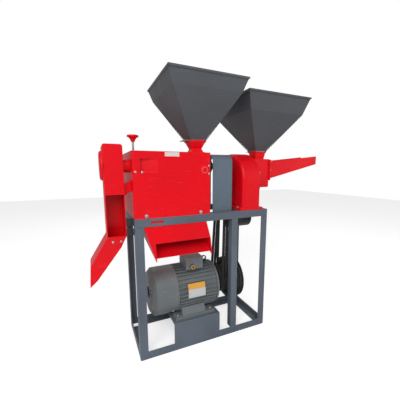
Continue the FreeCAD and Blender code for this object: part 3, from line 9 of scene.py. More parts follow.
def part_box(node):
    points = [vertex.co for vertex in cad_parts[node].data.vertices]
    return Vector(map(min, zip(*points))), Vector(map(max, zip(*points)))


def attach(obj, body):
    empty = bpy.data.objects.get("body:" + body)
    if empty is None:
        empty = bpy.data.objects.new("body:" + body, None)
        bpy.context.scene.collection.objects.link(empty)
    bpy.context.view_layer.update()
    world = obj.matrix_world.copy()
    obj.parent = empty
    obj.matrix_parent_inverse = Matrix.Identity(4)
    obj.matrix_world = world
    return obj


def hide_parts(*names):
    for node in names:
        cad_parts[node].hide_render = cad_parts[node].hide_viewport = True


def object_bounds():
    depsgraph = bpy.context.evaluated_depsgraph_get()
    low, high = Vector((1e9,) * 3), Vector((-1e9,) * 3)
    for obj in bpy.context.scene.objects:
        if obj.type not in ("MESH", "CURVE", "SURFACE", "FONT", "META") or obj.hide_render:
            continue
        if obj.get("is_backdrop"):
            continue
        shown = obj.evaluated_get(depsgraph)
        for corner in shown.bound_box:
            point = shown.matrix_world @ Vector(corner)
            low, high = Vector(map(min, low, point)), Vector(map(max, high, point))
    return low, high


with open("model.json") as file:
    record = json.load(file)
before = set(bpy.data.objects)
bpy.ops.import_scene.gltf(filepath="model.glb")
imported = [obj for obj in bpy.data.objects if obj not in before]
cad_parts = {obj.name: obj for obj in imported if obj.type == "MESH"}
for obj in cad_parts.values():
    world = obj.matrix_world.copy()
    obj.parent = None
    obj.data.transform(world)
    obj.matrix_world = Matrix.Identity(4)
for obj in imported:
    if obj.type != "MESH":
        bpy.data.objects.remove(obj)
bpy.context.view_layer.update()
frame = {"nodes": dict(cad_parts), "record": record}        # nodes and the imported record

nodes = frame["nodes"]
print("frame loaded:", len(nodes), "nodes")


# mesh tools

def gridFaces(rows, columns, closeRows=False, closeColumns=False):
    # quads between neighbours of a rows x columns grid; a closed way joins its last line to its first
    r = np.arange(rows if closeRows else rows - 1)
    c = np.arange(columns if closeColumns else columns - 1)
    r, c = [a.ravel() for a in np.meshgrid(r, c, indexing="ij")]
    rNext = (r + 1) % rows
    cNext = (c + 1) % columns
    return np.stack([r * columns + c, r * columns + cNext, rNext * columns + cNext, rNext * columns + c], 1)


def joined(parts):
    # (points, faces) pairs as one pair, each one's faces moved on by the points before it
    points, faces, start = [], [], 0
    for p, f in parts:
        p = np.asarray(p, float).reshape(-1, 3)
        points.append(p)
        faces.extend((np.asarray(f) + start).tolist())
        start += len(p)
    return np.concatenate(points), faces


def closeUp(mesh):
    # merge the doubled points at poles and caps, then turn every face outwards
    import bmesh
    work = bmesh.new()
    work.from_mesh(mesh)
    bmesh.ops.remove_doubles(work, verts=work.verts, dist=1e-6)
    bmesh.ops.dissolve_degenerate(work, edges=work.edges, dist=1e-7)
    bmesh.ops.recalc_face_normals(work, faces=work.faces)
    work.to_mesh(mesh)
    work.free()


def piece(name, parts, material, body, replaced=(), sharp=35, bevel=0):
    points, faces = joined(parts)
    mesh = bpy.data.meshes.new(name)
    mesh.from_pydata(points.tolist(), [], faces)
    closeUp(mesh)
    mesh.polygons.foreach_set("use_smooth", np.ones(len(mesh.polygons), bool))
    mesh.set_sharp_from_angle(angle=math.radians(sharp))
    mesh.materials.append(material)
    thing = bpy.data.objects.new(name, mesh)
    bpy.context.scene.collection.objects.link(thing)
    if bevel:
        edge = thing.modifiers.new("edges", "BEVEL")
        edge.width = bevel
        edge.segments = 2
        edge.limit_method = "ANGLE"
    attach(thing, body)
    if replaced:
        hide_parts(*replaced)
    return thing


def turned(profile, place, axis="z", steps=40):
    # surface of revolution: (radius, height) pairs carried round the axis through place
    profile = np.asarray(profile, float)
    angle = np.linspace(0, 2 * np.pi, steps, endpoint=False)
    radius, height = profile[:, 0][:, None], profile[:, 1][:, None]
    a = radius * np.cos(angle)
    b = radius * np.sin(angle)
    h = height + 0 * angle
    order = {"x": (h, a, b), "y": (b, h, a), "z": (a, b, h)}[axis]
    points = np.stack(order, -1) + np.asarray(place, float)
    return points, gridFaces(len(profile), steps, closeColumns=True)


def tube(path, radius, closed=False, sides=10):
    # circle of the given radius carried along a path; each ring is square to the path's local direction
    path = np.asarray(path, float)
    if closed:
        along = np.roll(path, -1, 0) - np.roll(path, 1, 0)
    else:
        along = np.gradient(path, axis=0)
    along /= np.linalg.norm(along, axis=1)[:, None]
    helper = np.where(np.abs(along[:, 2:3]) > 0.9, [[1.0, 0.0, 0.0]], [[0.0, 0.0, 1.0]])
    across = np.cross(along, helper)
    across /= np.linalg.norm(across, axis=1)[:, None]
    upward = np.cross(across, along)
    angle = np.linspace(0, 2 * np.pi, sides, endpoint=False)
    size = np.broadcast_to(np.asarray(radius, float), (len(path),))[:, None, None]
    points = path[:, None] + size * (across[:, None] * np.cos(angle)[None, :, None]
                                     + upward[:, None] * np.sin(angle)[None, :, None])
    faces = [gridFaces(len(path), sides, closeRows=closed, closeColumns=True)]
    parts = [(points, faces[0])]
    if not closed:
        for ring in (points[0], points[-1]):      # flat end caps, each a fan about its middle
            middle = np.concatenate([ring, ring.mean(0)[None]])
            spokes = np.arange(sides)
            parts.append((middle, np.stack([spokes, (spokes + 1) % sides, np.full(sides, sides)], 1)))
    return parts


def roundedSquare(low, high, corner, steps=6):
    # outline of a rectangle whose corners are quarter circles, as (x, y) pairs
    (x0, y0), (x1, y1) = low, high
    angle = np.linspace(0, np.pi / 2, steps)
    out = []
    for cx, cy, start in ((x1 - corner, y1 - corner, 0), (x0 + corner, y1 - corner, 90),
                          (x0 + corner, y0 + corner, 180), (x1 - corner, y0 + corner, 270)):
        turn = angle + math.radians(start)
        out.append(np.stack([cx + corner * np.cos(turn), cy + corner * np.sin(turn)], 1))
    return np.concatenate(out)


def extruded(outline, place, across, upward, thick):
    # flat outline of (a, b) pairs laid along across and upward, given a thickness along their cross product
    outline = np.asarray(outline, float)
    across, upward = np.asarray(across, float), np.asarray(upward, float)
    outward = np.cross(across, upward)
    flat = np.asarray(place, float) + outline[:, :1] * across + outline[:, 1:] * upward
    both = np.stack([flat, flat + outward * thick])
    count = len(outline)
    parts = [(both, gridFaces(2, count, closeColumns=True))]
    for sheet in both:
        fan = np.concatenate([sheet, sheet.mean(0)[None]])
        spokes = np.arange(count)
        parts.append((fan, np.stack([spokes, (spokes + 1) % count, np.full(count, count)], 1)))
    return parts


def hexBolt(place, normal, size, tall, washer=0.4, turn=0.0):
    # six-sided head: radius = flat distance / cos(angle from the nearest flat),
    # cut by a chamfer cone near its top
    angle = np.linspace(0, 2 * np.pi, 36, endpoint=False)
    flat = size * 0.866
    side = flat / np.cos((angle + np.pi / 6 + turn) % (np.pi / 3) - np.pi / 6)
    rows = []
    plate = size * 1.25
    for height, limit in ((0, plate), (tall * washer * 0.5, plate), (tall * washer * 0.6, plate * 0.96)):
        rows.append((np.full(36, limit), height))
    for height, limit in ((tall * washer * 0.6, size), (tall * 0.82, size), (tall, flat * 0.96), (tall, 0)):
        rows.append((np.minimum(side, limit), height))
    normal = np.asarray(normal, float)
    helper = np.array([0.0, 0.0, 1.0]) if abs(normal[2]) < 0.9 else np.array([1.0, 0.0, 0.0])
    across = np.cross(helper, normal)
    upward = np.cross(normal, across)
    points = np.stack([np.asarray(place) + normal * h + r[:, None] * (np.cos(angle)[:, None] * across
                       + np.sin(angle)[:, None] * upward) for r, h in rows])
    base = np.concatenate([points[0], np.asarray(place, float)[None]])
    spokes = np.arange(36)
    under = np.stack([spokes, (spokes + 1) % 36, np.full(36, 36)], 1)
    return [(points, gridFaces(len(rows), 36, closeColumns=True)), (base, under)]


def middleOf(node):
    low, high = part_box(node)
    return (low + high) / 2


def levelsOf(node):
    # every level of a node's corners with its (x, y) reach there, from the lowest up
    mesh = nodes[node].data
    co = np.empty(len(mesh.vertices) * 3, np.float32)
    mesh.vertices.foreach_get("co", co)
    co = co.reshape(-1, 3).astype(float)
    found = []
    for z in np.unique(np.round(co[:, 2], 4)):
        ring = co[np.abs(co[:, 2] - z) < 1e-4]
        found.append((z, ring[:, :2].min(0), ring[:, :2].max(0)))
    return found


# shader groups shared by the finishes

def newGroup(name, inputs, outputs):
    tree = bpy.data.node_groups.new(name, "ShaderNodeTree")
    for label, kind, value in inputs:
        made = tree.interface.new_socket(name=label, in_out="INPUT", socket_type=kind)
        if value is not None:
            made.default_value = value
    for label, kind in outputs:
        tree.interface.new_socket(name=label, in_out="OUTPUT", socket_type=kind)
    return tree, tree.nodes.new("NodeGroupInput"), tree.nodes.new("NodeGroupOutput")


def addNode(tree, kind, links=(), **values):
    made = tree.nodes.new(kind)
    for key, value in values.items():
        if hasattr(made, key):
            setattr(made, key, value)
        else:
            made.inputs[key].default_value = value
    for label, source in dict(links).items():
        tree.links.new(source, made.inputs[label])
    return made


def mathNode(tree, operation, first, second, clamp=False):
    made = tree.nodes.new("ShaderNodeMath")
    made.operation = operation
    made.use_clamp = clamp
    for index, value in enumerate((first, second)):
        if isinstance(value, (int, float)):
            made.inputs[index].default_value = value
        else:
            tree.links.new(value, made.inputs[index])
    return made.outputs[0]


def rampNode(tree, source, low, high):
    made = tree.nodes.new("ShaderNodeMapRange")
    made.interpolation_type = "SMOOTHSTEP"
    made.inputs["From Min"].default_value = low
    made.inputs["From Max"].default_value = high
    tree.links.new(source, made.inputs["Value"])
    return made.outputs["Result"]


def edgeWearAndHighlightGroup():
    # how far the rounded normal leans from the true one, broken up by noise: high on edges, which the
    # finishes lighten as scuffed paint and as a painted highlight
    tree, start, end = newGroup("edgeWearAndHighlight", [("Vector", "NodeSocketVector", None),
                                           ("Width", "NodeSocketFloat", 0.002),
                                             ("Breakup", "NodeSocketFloat", 60.0)],
                                [("Mask", "NodeSocketFloat"), ("Normal", "NodeSocketVector")])
    bevel = tree.nodes.new("ShaderNodeBevel")
    bevel.samples = 4
    tree.links.new(start.outputs["Width"], bevel.inputs["Radius"])
    shape = tree.nodes.new("ShaderNodeNewGeometry")
    dot = tree.nodes.new("ShaderNodeVectorMath")
    dot.operation = "DOT_PRODUCT"
    tree.links.new(bevel.outputs["Normal"], dot.inputs[0])
    tree.links.new(shape.outputs["Normal"], dot.inputs[1])
    lean = mathNode(tree, "SUBTRACT", 1.0, dot.outputs["Value"])
    noise = addNode(tree, "ShaderNodeTexNoise", {"Vector": start.outputs["Vector"],
                                                 "Scale": start.outputs["Breakup"]}, Detail=3.0)
    wide = mathNode(tree, "MULTIPLY", lean, mathNode(tree, "ADD", noise.outputs["Fac"], 0.35))
    tree.links.new(rampNode(tree, wide, 0.03, 0.22), end.inputs["Mask"])
    tree.links.new(bevel.outputs["Normal"], end.inputs["Normal"])
    return tree


def dustGroup():
    # upward-facing places gather dust, thicker where a soft noise is high
    tree, start, end = newGroup("dust", [("Vector", "NodeSocketVector", None),
                                       ("Scale", "NodeSocketFloat", 9.0),
                                         ("Amount", "NodeSocketFloat", 0.3)], [("Mask", "NodeSocketFloat")])
    shape = tree.nodes.new("ShaderNodeNewGeometry")
    apart = tree.nodes.new("ShaderNodeSeparateXYZ")
    tree.links.new(shape.outputs["Normal"], apart.inputs[0])
    flat = rampNode(tree, apart.outputs["Z"], 0.2, 1.0)
    noise = addNode(tree, "ShaderNodeTexNoise", {"Vector": start.outputs["Vector"],
                                                 "Scale": start.outputs["Scale"]}, Detail=5.0, Roughness=0.6)
    cloud = rampNode(tree, noise.outputs["Fac"], 0.35, 0.7)
    settled = mathNode(tree, "MULTIPLY", flat, cloud)
    tree.links.new(mathNode(tree, "MULTIPLY", settled, start.outputs["Amount"]), end.inputs["Mask"])
    return tree


def mottleGroup():
    # two sizes of noise added: broad tone shifts and fine specks
    tree, start, end = newGroup("mottle", [("Vector", "NodeSocketVector", None),
                                         ("Broad", "NodeSocketFloat", 4.0),
                                           ("Fine", "NodeSocketFloat", 90.0)],
                                [("Tone", "NodeSocketFloat"), ("Specks", "NodeSocketFloat")])
    broad = addNode(tree, "ShaderNodeTexNoise", {"Vector": start.outputs["Vector"],
                                                 "Scale": start.outputs["Broad"]}, Detail=4.0)
    fine = addNode(tree, "ShaderNodeTexNoise", {"Vector": start.outputs["Vector"],
                                                "Scale": start.outputs["Fine"]}, Detail=2.0)
    tree.links.new(rampNode(tree, broad.outputs["Fac"], 0.3, 0.7), end.inputs["Tone"])
    tree.links.new(fine.outputs["Fac"], end.inputs["Specks"])
    return tree


def scratchGroup():
    # noise stretched along one way, kept where it is highest: short fine scratches
    tree, start, end = newGroup("scratches", [("Vector", "NodeSocketVector", None),
                                            ("Scale", "NodeSocketFloat", 25.0)],
                                [("Mask", "NodeSocketFloat")])
    stretch = tree.nodes.new("ShaderNodeMapping")
    stretch.inputs["Rotation"].default_value = (0.3, 0.9, 0.5)
    stretch.inputs["Scale"].default_value = (1.0, 9.0, 14.0)
    tree.links.new(start.outputs["Vector"], stretch.inputs["Vector"])
    noise = addNode(tree, "ShaderNodeTexNoise", {"Vector": stretch.outputs["Vector"],
                                                 "Scale": start.outputs["Scale"]}, Detail=3.0)
    tree.links.new(rampNode(tree, noise.outputs["Fac"], 0.62, 0.75), end.inputs["Mask"])
    return tree


groups = {"edgeWearAndHighlight": edgeWearAndHighlightGroup(), "dust": dustGroup(), "mottle": mottleGroup(),
          "scratches": scratchGroup()}


def useGroup(tree, name, vector, **values):
    made = tree.nodes.new("ShaderNodeGroup")
    made.node_tree = groups[name]
    tree.links.new(vector, made.inputs["Vector"])
    for key, value in values.items():
        made.inputs[key].default_value = value
    return made


def mixColour(tree, factor, first, second):
    made = tree.nodes.new("ShaderNodeMix")
    made.data_type = "RGBA"
    tree.links.new(factor, made.inputs["Factor"])
    for index, value in ((6, first), (7, second)):
        if isinstance(value, tuple):
            made.inputs[index].default_value = (*value, 1)
        else:
            tree.links.new(value, made.inputs[index])
    return made.outputs[2]


def finish(name, colour, shade, wornAndHighlight, dust, metallic=0.0, rough=(0.3, 0.42), coat=0.0, wearAndHighlight=0.5,
           dustAmount=0.25, broad=4.0, fine=90.0, bump=0.15, bumpSize=0.0004, edge=0.0018,
           breakup=60.0, grooves=None, mirror=0.5):
    # colour shifts to shade by the broad tone, to a lighter colour on edges (scuffed paint plus a painted
    # highlight) and on scratches, and to dust on top
    made = bpy.data.materials.new(name)
    made.use_nodes = True
    tree = made.node_tree
    shader = tree.nodes["Principled BSDF"]
    place = tree.nodes.new("ShaderNodeTexCoord").outputs["Object"]
    mottle = useGroup(tree, "mottle", place, Broad=broad, Fine=fine)
    wearAndHighlightMap = useGroup(tree, "edgeWearAndHighlight", place, Width=edge, Breakup=breakup)
    scratch = useGroup(tree, "scratches", place)
    dustMap = useGroup(tree, "dust", place, Amount=dustAmount)
    base = mixColour(tree, mottle.outputs["Tone"], colour, shade)
    # edge mask: lightens the edges, partly as scuffed paint and partly as a painted highlight along bent
    # edges
    rubbedAndHighlight = mathNode(tree, "MULTIPLY", wearAndHighlightMap.outputs["Mask"], wearAndHighlight, clamp=True)
    marks = mathNode(tree, "MULTIPLY", scratch.outputs["Mask"], wearAndHighlight * 0.35)
    base = mixColour(tree, mathNode(tree, "MAXIMUM", rubbedAndHighlight, marks), base, wornAndHighlight)
    base = mixColour(tree, dustMap.outputs["Mask"], base, dust)
    tree.links.new(base, shader.inputs["Base Color"])
    spread = tree.nodes.new("ShaderNodeMapRange")
    spread.inputs["To Min"].default_value = rough[0]
    spread.inputs["To Max"].default_value = rough[1]
    tree.links.new(mottle.outputs["Tone"], spread.inputs["Value"])
    coarse = mathNode(tree, "ADD", spread.outputs["Result"],
                      mathNode(tree, "MULTIPLY", dustMap.outputs["Mask"], 0.35), clamp=True)
    tree.links.new(coarse, shader.inputs["Roughness"])
    shader.inputs["Metallic"].default_value = metallic
    shader.inputs["Specular IOR Level"].default_value = mirror
    shader.inputs["Coat Weight"].default_value = coat
    shader.inputs["Coat Roughness"].default_value = 0.12
    relief = tree.nodes.new("ShaderNodeBump")
    relief.inputs["Strength"].default_value = bump
    relief.inputs["Distance"].default_value = bumpSize
    height = mottle.outputs["Specks"]
    if grooves:                                   # turned or ground lines across one way
        lines = addNode(tree, "ShaderNodeTexWave", {"Vector": place},
                        Scale=grooves, Distortion=0.6, Detail=2.0)
        height = mathNode(tree, "ADD", height, lines.outputs["Fac"])
    tree.links.new(height, relief.inputs["Height"])
    tree.links.new(wearAndHighlightMap.outputs["Normal"], relief.inputs["Normal"])
    tree.links.new(relief.outputs["Normal"], shader.inputs["Normal"])
    return made


finishes = {
    # the third colour in each finish is the lighter edge colour: partly scuffed paint, partly a painted
    # highlight along bent edges (pink on the red enamel)
    "redEnamel": dict(colour=(0.88, 0.0015, 0.009), shade=(0.78, 0.001, 0.009), wornAndHighlight=(0.95, 0.22, 0.25),
                      dust=(0.80, 0.06, 0.07), rough=(0.26, 0.36), coat=0.0, wearAndHighlight=0.4, dustAmount=0.10,
                      fine=260.0, bump=0.06, mirror=0.22),
    "frameEnamel": dict(colour=(0.115, 0.145, 0.185), shade=(0.085, 0.105, 0.135), wornAndHighlight=(0.26, 0.30, 0.34),
                        dust=(0.30, 0.29, 0.27), rough=(0.38, 0.52), wearAndHighlight=0.6, dustAmount=0.3,
                        fine=220.0, bump=0.12),
    "guardEnamel": dict(colour=(0.125, 0.170, 0.215), shade=(0.10, 0.14, 0.18), wornAndHighlight=(0.40, 0.45, 0.50),
                        dust=(0.34, 0.34, 0.33), rough=(0.30, 0.42), coat=0.2, wearAndHighlight=0.6, dustAmount=0.2,
                        fine=240.0, bump=0.08),
    "hopperEnamel": dict(colour=(0.088, 0.096, 0.108), shade=(0.072, 0.078, 0.088), wornAndHighlight=(0.24, 0.25, 0.26),
                         dust=(0.30, 0.29, 0.27), rough=(0.40, 0.54), wearAndHighlight=0.55, dustAmount=0.25, broad=2.5,
                         fine=200.0, bump=0.10),
    "motorEnamel": dict(colour=(0.165, 0.185, 0.195), shade=(0.125, 0.142, 0.152), wornAndHighlight=(0.42, 0.44, 0.45),
                        dust=(0.36, 0.35, 0.33), rough=(0.36, 0.50), coat=0.1, wearAndHighlight=0.6, dustAmount=0.3,
                        fine=300.0, bump=0.22),
    "blackEnamel": dict(colour=(0.020, 0.021, 0.023), shade=(0.030, 0.031, 0.033), wornAndHighlight=(0.12, 0.12, 0.12),
                        dust=(0.14, 0.135, 0.13), rough=(0.35, 0.5), wearAndHighlight=0.45, dustAmount=0.25, bump=0.12),
    "castBlack": dict(colour=(0.028, 0.029, 0.030), shade=(0.045, 0.045, 0.046), wornAndHighlight=(0.22, 0.22, 0.22),
                      dust=(0.16, 0.155, 0.15), rough=(0.45, 0.65), wearAndHighlight=0.6, dustAmount=0.25, fine=160.0,
                      bump=0.4, bumpSize=0.0008),
    "chilledIron": dict(colour=(0.34, 0.35, 0.36), shade=(0.26, 0.265, 0.27), wornAndHighlight=(0.55, 0.55, 0.55),
                        dust=(0.45, 0.42, 0.36), metallic=1.0, rough=(0.32, 0.48), wearAndHighlight=0.5,
                        fine=180.0, bump=0.3),
    "turnedSteel": dict(colour=(0.52, 0.53, 0.55), shade=(0.42, 0.43, 0.45), wornAndHighlight=(0.75, 0.75, 0.76),
                        dust=(0.40, 0.38, 0.35), metallic=1.0, rough=(0.22, 0.34), wearAndHighlight=0.4, dustAmount=0.1,
                        bump=0.15, grooves=60.0),
    "zincSteel": dict(colour=(0.60, 0.60, 0.58), shade=(0.48, 0.48, 0.45), wornAndHighlight=(0.80, 0.80, 0.80),
                      dust=(0.42, 0.40, 0.36), metallic=1.0, rough=(0.28, 0.42), wearAndHighlight=0.5, dustAmount=0.15,
                      broad=20.0, bump=0.15),
    "beltRubber": dict(colour=(0.018, 0.018, 0.019), shade=(0.028, 0.027, 0.026), wornAndHighlight=(0.07, 0.068, 0.065),
                       dust=(0.12, 0.115, 0.11), rough=(0.6, 0.8), wearAndHighlight=0.7, dustAmount=0.3,
                       fine=400.0, bump=0.5),
    "turnedBrass": dict(colour=(0.72, 0.48, 0.14), shade=(0.58, 0.36, 0.10), wornAndHighlight=(0.90, 0.72, 0.36),
                        dust=(0.45, 0.36, 0.22), metallic=1.0, rough=(0.22, 0.36), wearAndHighlight=0.5, dustAmount=0.1,
                        broad=25.0, bump=0.15),
    "rotorStack": dict(colour=(0.30, 0.31, 0.33), shade=(0.22, 0.23, 0.25), wornAndHighlight=(0.5, 0.5, 0.5),
                       dust=(0.2, 0.2, 0.2), metallic=1.0, rough=(0.35, 0.5), wearAndHighlight=0.4,
                       bump=0.3, grooves=220.0),
    "fanPlastic": dict(colour=(0.03, 0.03, 0.033), shade=(0.045, 0.045, 0.048), wornAndHighlight=(0.10, 0.10, 0.10),
                       dust=(0.15, 0.145, 0.14), rough=(0.5, 0.65), wearAndHighlight=0.4, bump=0.15),
    "plateYellow": dict(colour=(0.84, 0.42, 0.05), shade=(0.74, 0.36, 0.04), wornAndHighlight=(0.90, 0.70, 0.40),
                        dust=(0.6, 0.5, 0.35), rough=(0.3, 0.4), wearAndHighlight=0.3, dustAmount=0.1, bump=0.05),
    "platePale": dict(colour=(0.62, 0.63, 0.62), shade=(0.52, 0.53, 0.52), wornAndHighlight=(0.85, 0.85, 0.85),
                      dust=(0.5, 0.48, 0.44), metallic=0.0, rough=(0.3, 0.4), wearAndHighlight=0.3,
                      dustAmount=0.1, bump=0.05),
    "labelWhite": dict(colour=(0.80, 0.76, 0.74), shade=(0.72, 0.66, 0.63), wornAndHighlight=(0.9, 0.9, 0.9),
                       dust=(0.6, 0.55, 0.5), rough=(0.35, 0.5), wearAndHighlight=0.3, dustAmount=0.1, bump=0.05),
    # pale red, used only for the painted highlight ring round the latch
    "highlightRed": dict(colour=(0.90, 0.20, 0.24), shade=(0.85, 0.14, 0.18), wornAndHighlight=(0.95, 0.5, 0.5),
                    dust=(0.7, 0.4, 0.4), rough=(0.3, 0.4), wearAndHighlight=0.4, dustAmount=0.1, bump=0.05),
}
paint = {name: finish(name, **values) for name, values in finishes.items()}
print("finishes made:", len(paint))

slotFinish = {"red_paint": "redEnamel", "frame_paint": "frameEnamel", "guard_paint": "guardEnamel",
              "hopper_sheet": "hopperEnamel", "motor_paint": "motorEnamel", "black_paint": "blackEnamel",
              "black_iron": "castBlack", "white_iron": "chilledIron", "shaft_steel": "turnedSteel",
              "bolt_steel": "zincSteel", "belt_rubber": "beltRubber", "gland_brass": "turnedBrass",
              "rotor_stack": "rotorStack", "fan_plastic": "fanPlastic"}
for entry in frame["record"]["subparts"]:
    shown = nodes[entry["node"]]
    shown.data.materials.clear()
    shown.data.materials.append(paint[slotFinish[entry["material_slot"]]])
print("solids painted")


# hoppers: rolled wire edge round the mouth, and weld beads up the four corners

hopperTrim = {"rimRadius": 0.0042, "corner": 0.004, "beadRadius": 0.0011, "beadSteps": 60}


def hopperEdges(node):
    low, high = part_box(node)
    r = hopperTrim["rimRadius"]
    flat = roundedSquare((low.x + r, low.y + r), (high.x - r, high.y - r), hopperTrim["corner"])
    path = np.column_stack([flat, np.full(len(flat), high.z - r)])
    wire = tube(path, r, closed=True, sides=12)
    piece(node + "_rim", wire, paint["hopperEnamel"], "stand", sharp=60)
    rings = [ring for ring in levelsOf(node) if ring[0] < high.z - 0.006]
    wide = [ring[2][0] - ring[1][0] for ring in rings]
    keep = [ring for index, ring in enumerate(rings) if index == 0 or wide[index] > wide[index - 1] + 0.004]
    beads = []
    for sx, sy in ((0, 0), (0, 1), (1, 0), (1, 1)):
        corner = [[(ring[1][0], ring[2][0])[sx], (ring[1][1], ring[2][1])[sy], ring[0]] for ring in keep]
        corner = np.array(corner)
        reach = np.linspace(0, len(corner) - 1, hopperTrim["beadSteps"])
        line = np.stack([np.interp(reach, np.arange(len(corner)), corner[:, k]) for k in range(3)], 1)
        line[:, 0] += (1 - 2 * sx) * 0.0006
        line[:, 1] += (1 - 2 * sy) * 0.0006
        size = hopperTrim["beadRadius"] * (1 + 0.18 * np.sin(reach * 90))
        beads += tube(line, size, sides=8)
    piece(node + "_seams", beads, paint["hopperEnamel"], "stand", sharp=80)


for hopperNode in ("mill_hopper", "crusher_hopper"):
    hopperEdges(hopperNode)
print("hoppers trimmed")


# gate knob: lathe-turned disc and cone on a threaded rod

knobShape = {"rod": 0.0038, "threadDeep": 0.0005, "lead": 0.004, "capRadius": 0.020}


def gateKnob():
    low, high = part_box("outlet_knob")
    x, y = middleOf("outlet_knob")[:2]
    top = high.z
    capLow = top - 0.023
    r = knobShape["capRadius"]
    cap = [(0, capLow), (0.0060, capLow), (0.0080, capLow + 0.006),
           (0.0125, capLow + 0.0135), (r * 0.94, capLow + 0.0165), (r, capLow + 0.0180), (r, capLow + 0.0212),
           (r * 0.95, capLow + 0.0228), (r * 0.55, top + 0.0012), (0, top + 0.0016)]
    piece("knob_cap", [turned(cap, (x, y, 0), steps=48)], paint["redEnamel"], "knob")
    # rod radius rises and falls with (height / lead - angle / 2 pi), which winds a thread round it
    height = np.linspace(low.z, capLow, 260)[:, None]
    angle = np.linspace(0, 2 * np.pi, 20, endpoint=False)[None, :]
    phase = height / knobShape["lead"] * 2 - angle / (2 * np.pi)
    radius = knobShape["rod"] - knobShape["threadDeep"] * np.abs(phase % 1 - 0.5) * 2
    rod = np.stack([x + radius * np.cos(angle), y + radius * np.sin(angle), height + 0 * angle], -1)
    ends = []
    for ring in (rod[0], rod[-1]):
        fan = np.concatenate([ring, ring.mean(0)[None]])
        ends.append((fan, np.stack([np.arange(20), (np.arange(20) + 1) % 20, np.full(20, 20)], 1)))
    screw = [(rod, gridFaces(260, 20, closeColumns=True))] + ends
    piece("knob_rod", screw, paint["turnedSteel"], "knob", replaced=("outlet_knob",), sharp=50)


gateKnob()
print("knob turned")


# bolts: a real head with its washer in place of each plain prism

boltLook = {"size": 0.0055, "tall": 0.0049, "housingInset": 0.0065, "plinthInset": 0.0056}


def boltRows():
    size, tall = boltLook["size"], boltLook["tall"]
    low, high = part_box("housing_bolts")
    z = (low.z + high.z) / 2
    inset = boltLook["housingInset"]
    parts = []
    for x in (low.x + inset, high.x - inset):
        parts += hexBolt((x, high.y, z), (0, -1, 0), size, tall, turn=x)
    piece("housing_bolt_heads", parts, paint["zincSteel"], "stand", replaced=("housing_bolts",))
    low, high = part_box("plinth_bolts")
    x = (low.x + high.x) / 2
    parts = []
    inset = boltLook["plinthInset"]
    for y in (low.y + inset, high.y - inset):
        parts += hexBolt((x, y, low.z), (0, 0, 1), size * 0.98, tall, washer=0.2)
    piece("plinth_bolt_heads", parts, paint["zincSteel"], "stand", replaced=("plinth_bolts",))
    low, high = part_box("motor_bolts")
    parts = []
    for x in (low.x + 0.0065, high.x - 0.0065):
        for y in (low.y + 0.0057, high.y - 0.0057):
            parts += hexBolt((x, y, high.z - 0.005), (0, 0, 1), size, tall, turn=x * 9)
            shank = [(0, low.z), (0.0046, low.z), (0.005, low.z + 0.0006),
                     (0.005, high.z - 0.005), (0, high.z - 0.005)]
            parts.append(turned(shank, (x, y, 0), steps=18))
    piece("motor_bolt_heads", parts, paint["zincSteel"], "stand", replaced=("motor_bolts",))


boltRows()
print("bolts made")


# mill housing: bare white plate, round latch with a pale ring that is a painted highlight, and hinge screws

housingTrim = {"plateLeft": 0.113, "plateRight": 0.167, "plateDrop": 0.0018, "plateTall": 0.0155,
               "plateThick": 0.0008, "latchX": 0.267, "latchZ": 0.720,
               "screws": ((0.0095, 0.714), (0.032, 0.713), (0.2855, 0.706), (0.2855, 0.736))}
# lengths along x are from the housing's left edge, and z is from the floor


def housingDetails():
    low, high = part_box("mill_housing")
    front = low.y
    t = housingTrim
    top = high.z - t["plateDrop"]
    left, right = low.x + t["plateLeft"], low.x + t["plateRight"]
    outline = roundedSquare((left, top - t["plateTall"]), (right, top), 0.0016)
    place = (0, front - t["plateThick"] + 0.0004, 0)
    label = extruded(outline, place, (1, 0, 0), (0, 0, 1), -t["plateThick"])
    piece("housing_plate", label, paint["labelWhite"], "stand")
    screws = []
    latch = [(0, -0.0052), (0.0055, -0.0052), (0.0068, -0.0046), (0.0072, -0.0030), (0.0078, -0.0026),
             (0.0125, -0.0022), (0.0138, -0.0012), (0.0140, 0.0004), (0, 0.0004)]
    screws.append(turned(latch, (low.x + t["latchX"], front, t["latchZ"]), axis="y", steps=40))
    piece("housing_latch", screws, paint["redEnamel"], "stand")
    # pale red ring round the latch rim: a painted highlight
    around = np.linspace(0, 2 * np.pi, 40, endpoint=False)
    ring = np.column_stack([low.x + t["latchX"] + 0.0115 * np.cos(around), np.full(40, front - 0.0020),
                            t["latchZ"] + 0.0115 * np.sin(around)])
    ring = tube(ring, 0.0011, closed=True, sides=8)
    piece("latch_highlight_ring", ring, paint["highlightRed"], "stand", sharp=80)
    small = []
    dome = [(0, -0.0028), (0.0022, -0.0026), (0.0038, -0.0016), (0.0044, 0.0), (0.0044, 0.0004), (0, 0.0004)]
    for x, z in t["screws"]:
        small.append(turned(dome, (low.x + x, front, z), axis="y", steps=20))
    piece("housing_screws", small, paint["zincSteel"], "stand")
    # folded seam round the roof: a thin rolled line just under the top edge
    path = roundedSquare((low.x + 0.0004, low.y + 0.0004), (high.x - 0.0004, high.y - 0.0004), 0.006, steps=8)
    line = np.column_stack([path, np.full(len(path), high.z - 0.0010)])
    seam = tube(line, 0.0010, closed=True, sides=8)
    piece("housing_roof_edge", seam, paint["redEnamel"], "stand", sharp=80)


housingDetails()
print("housing dressed")


# air column: hems on the open trough, screws on the spout

columnTrim = {"hem": 0.0016, "mouthTop": 0.637}


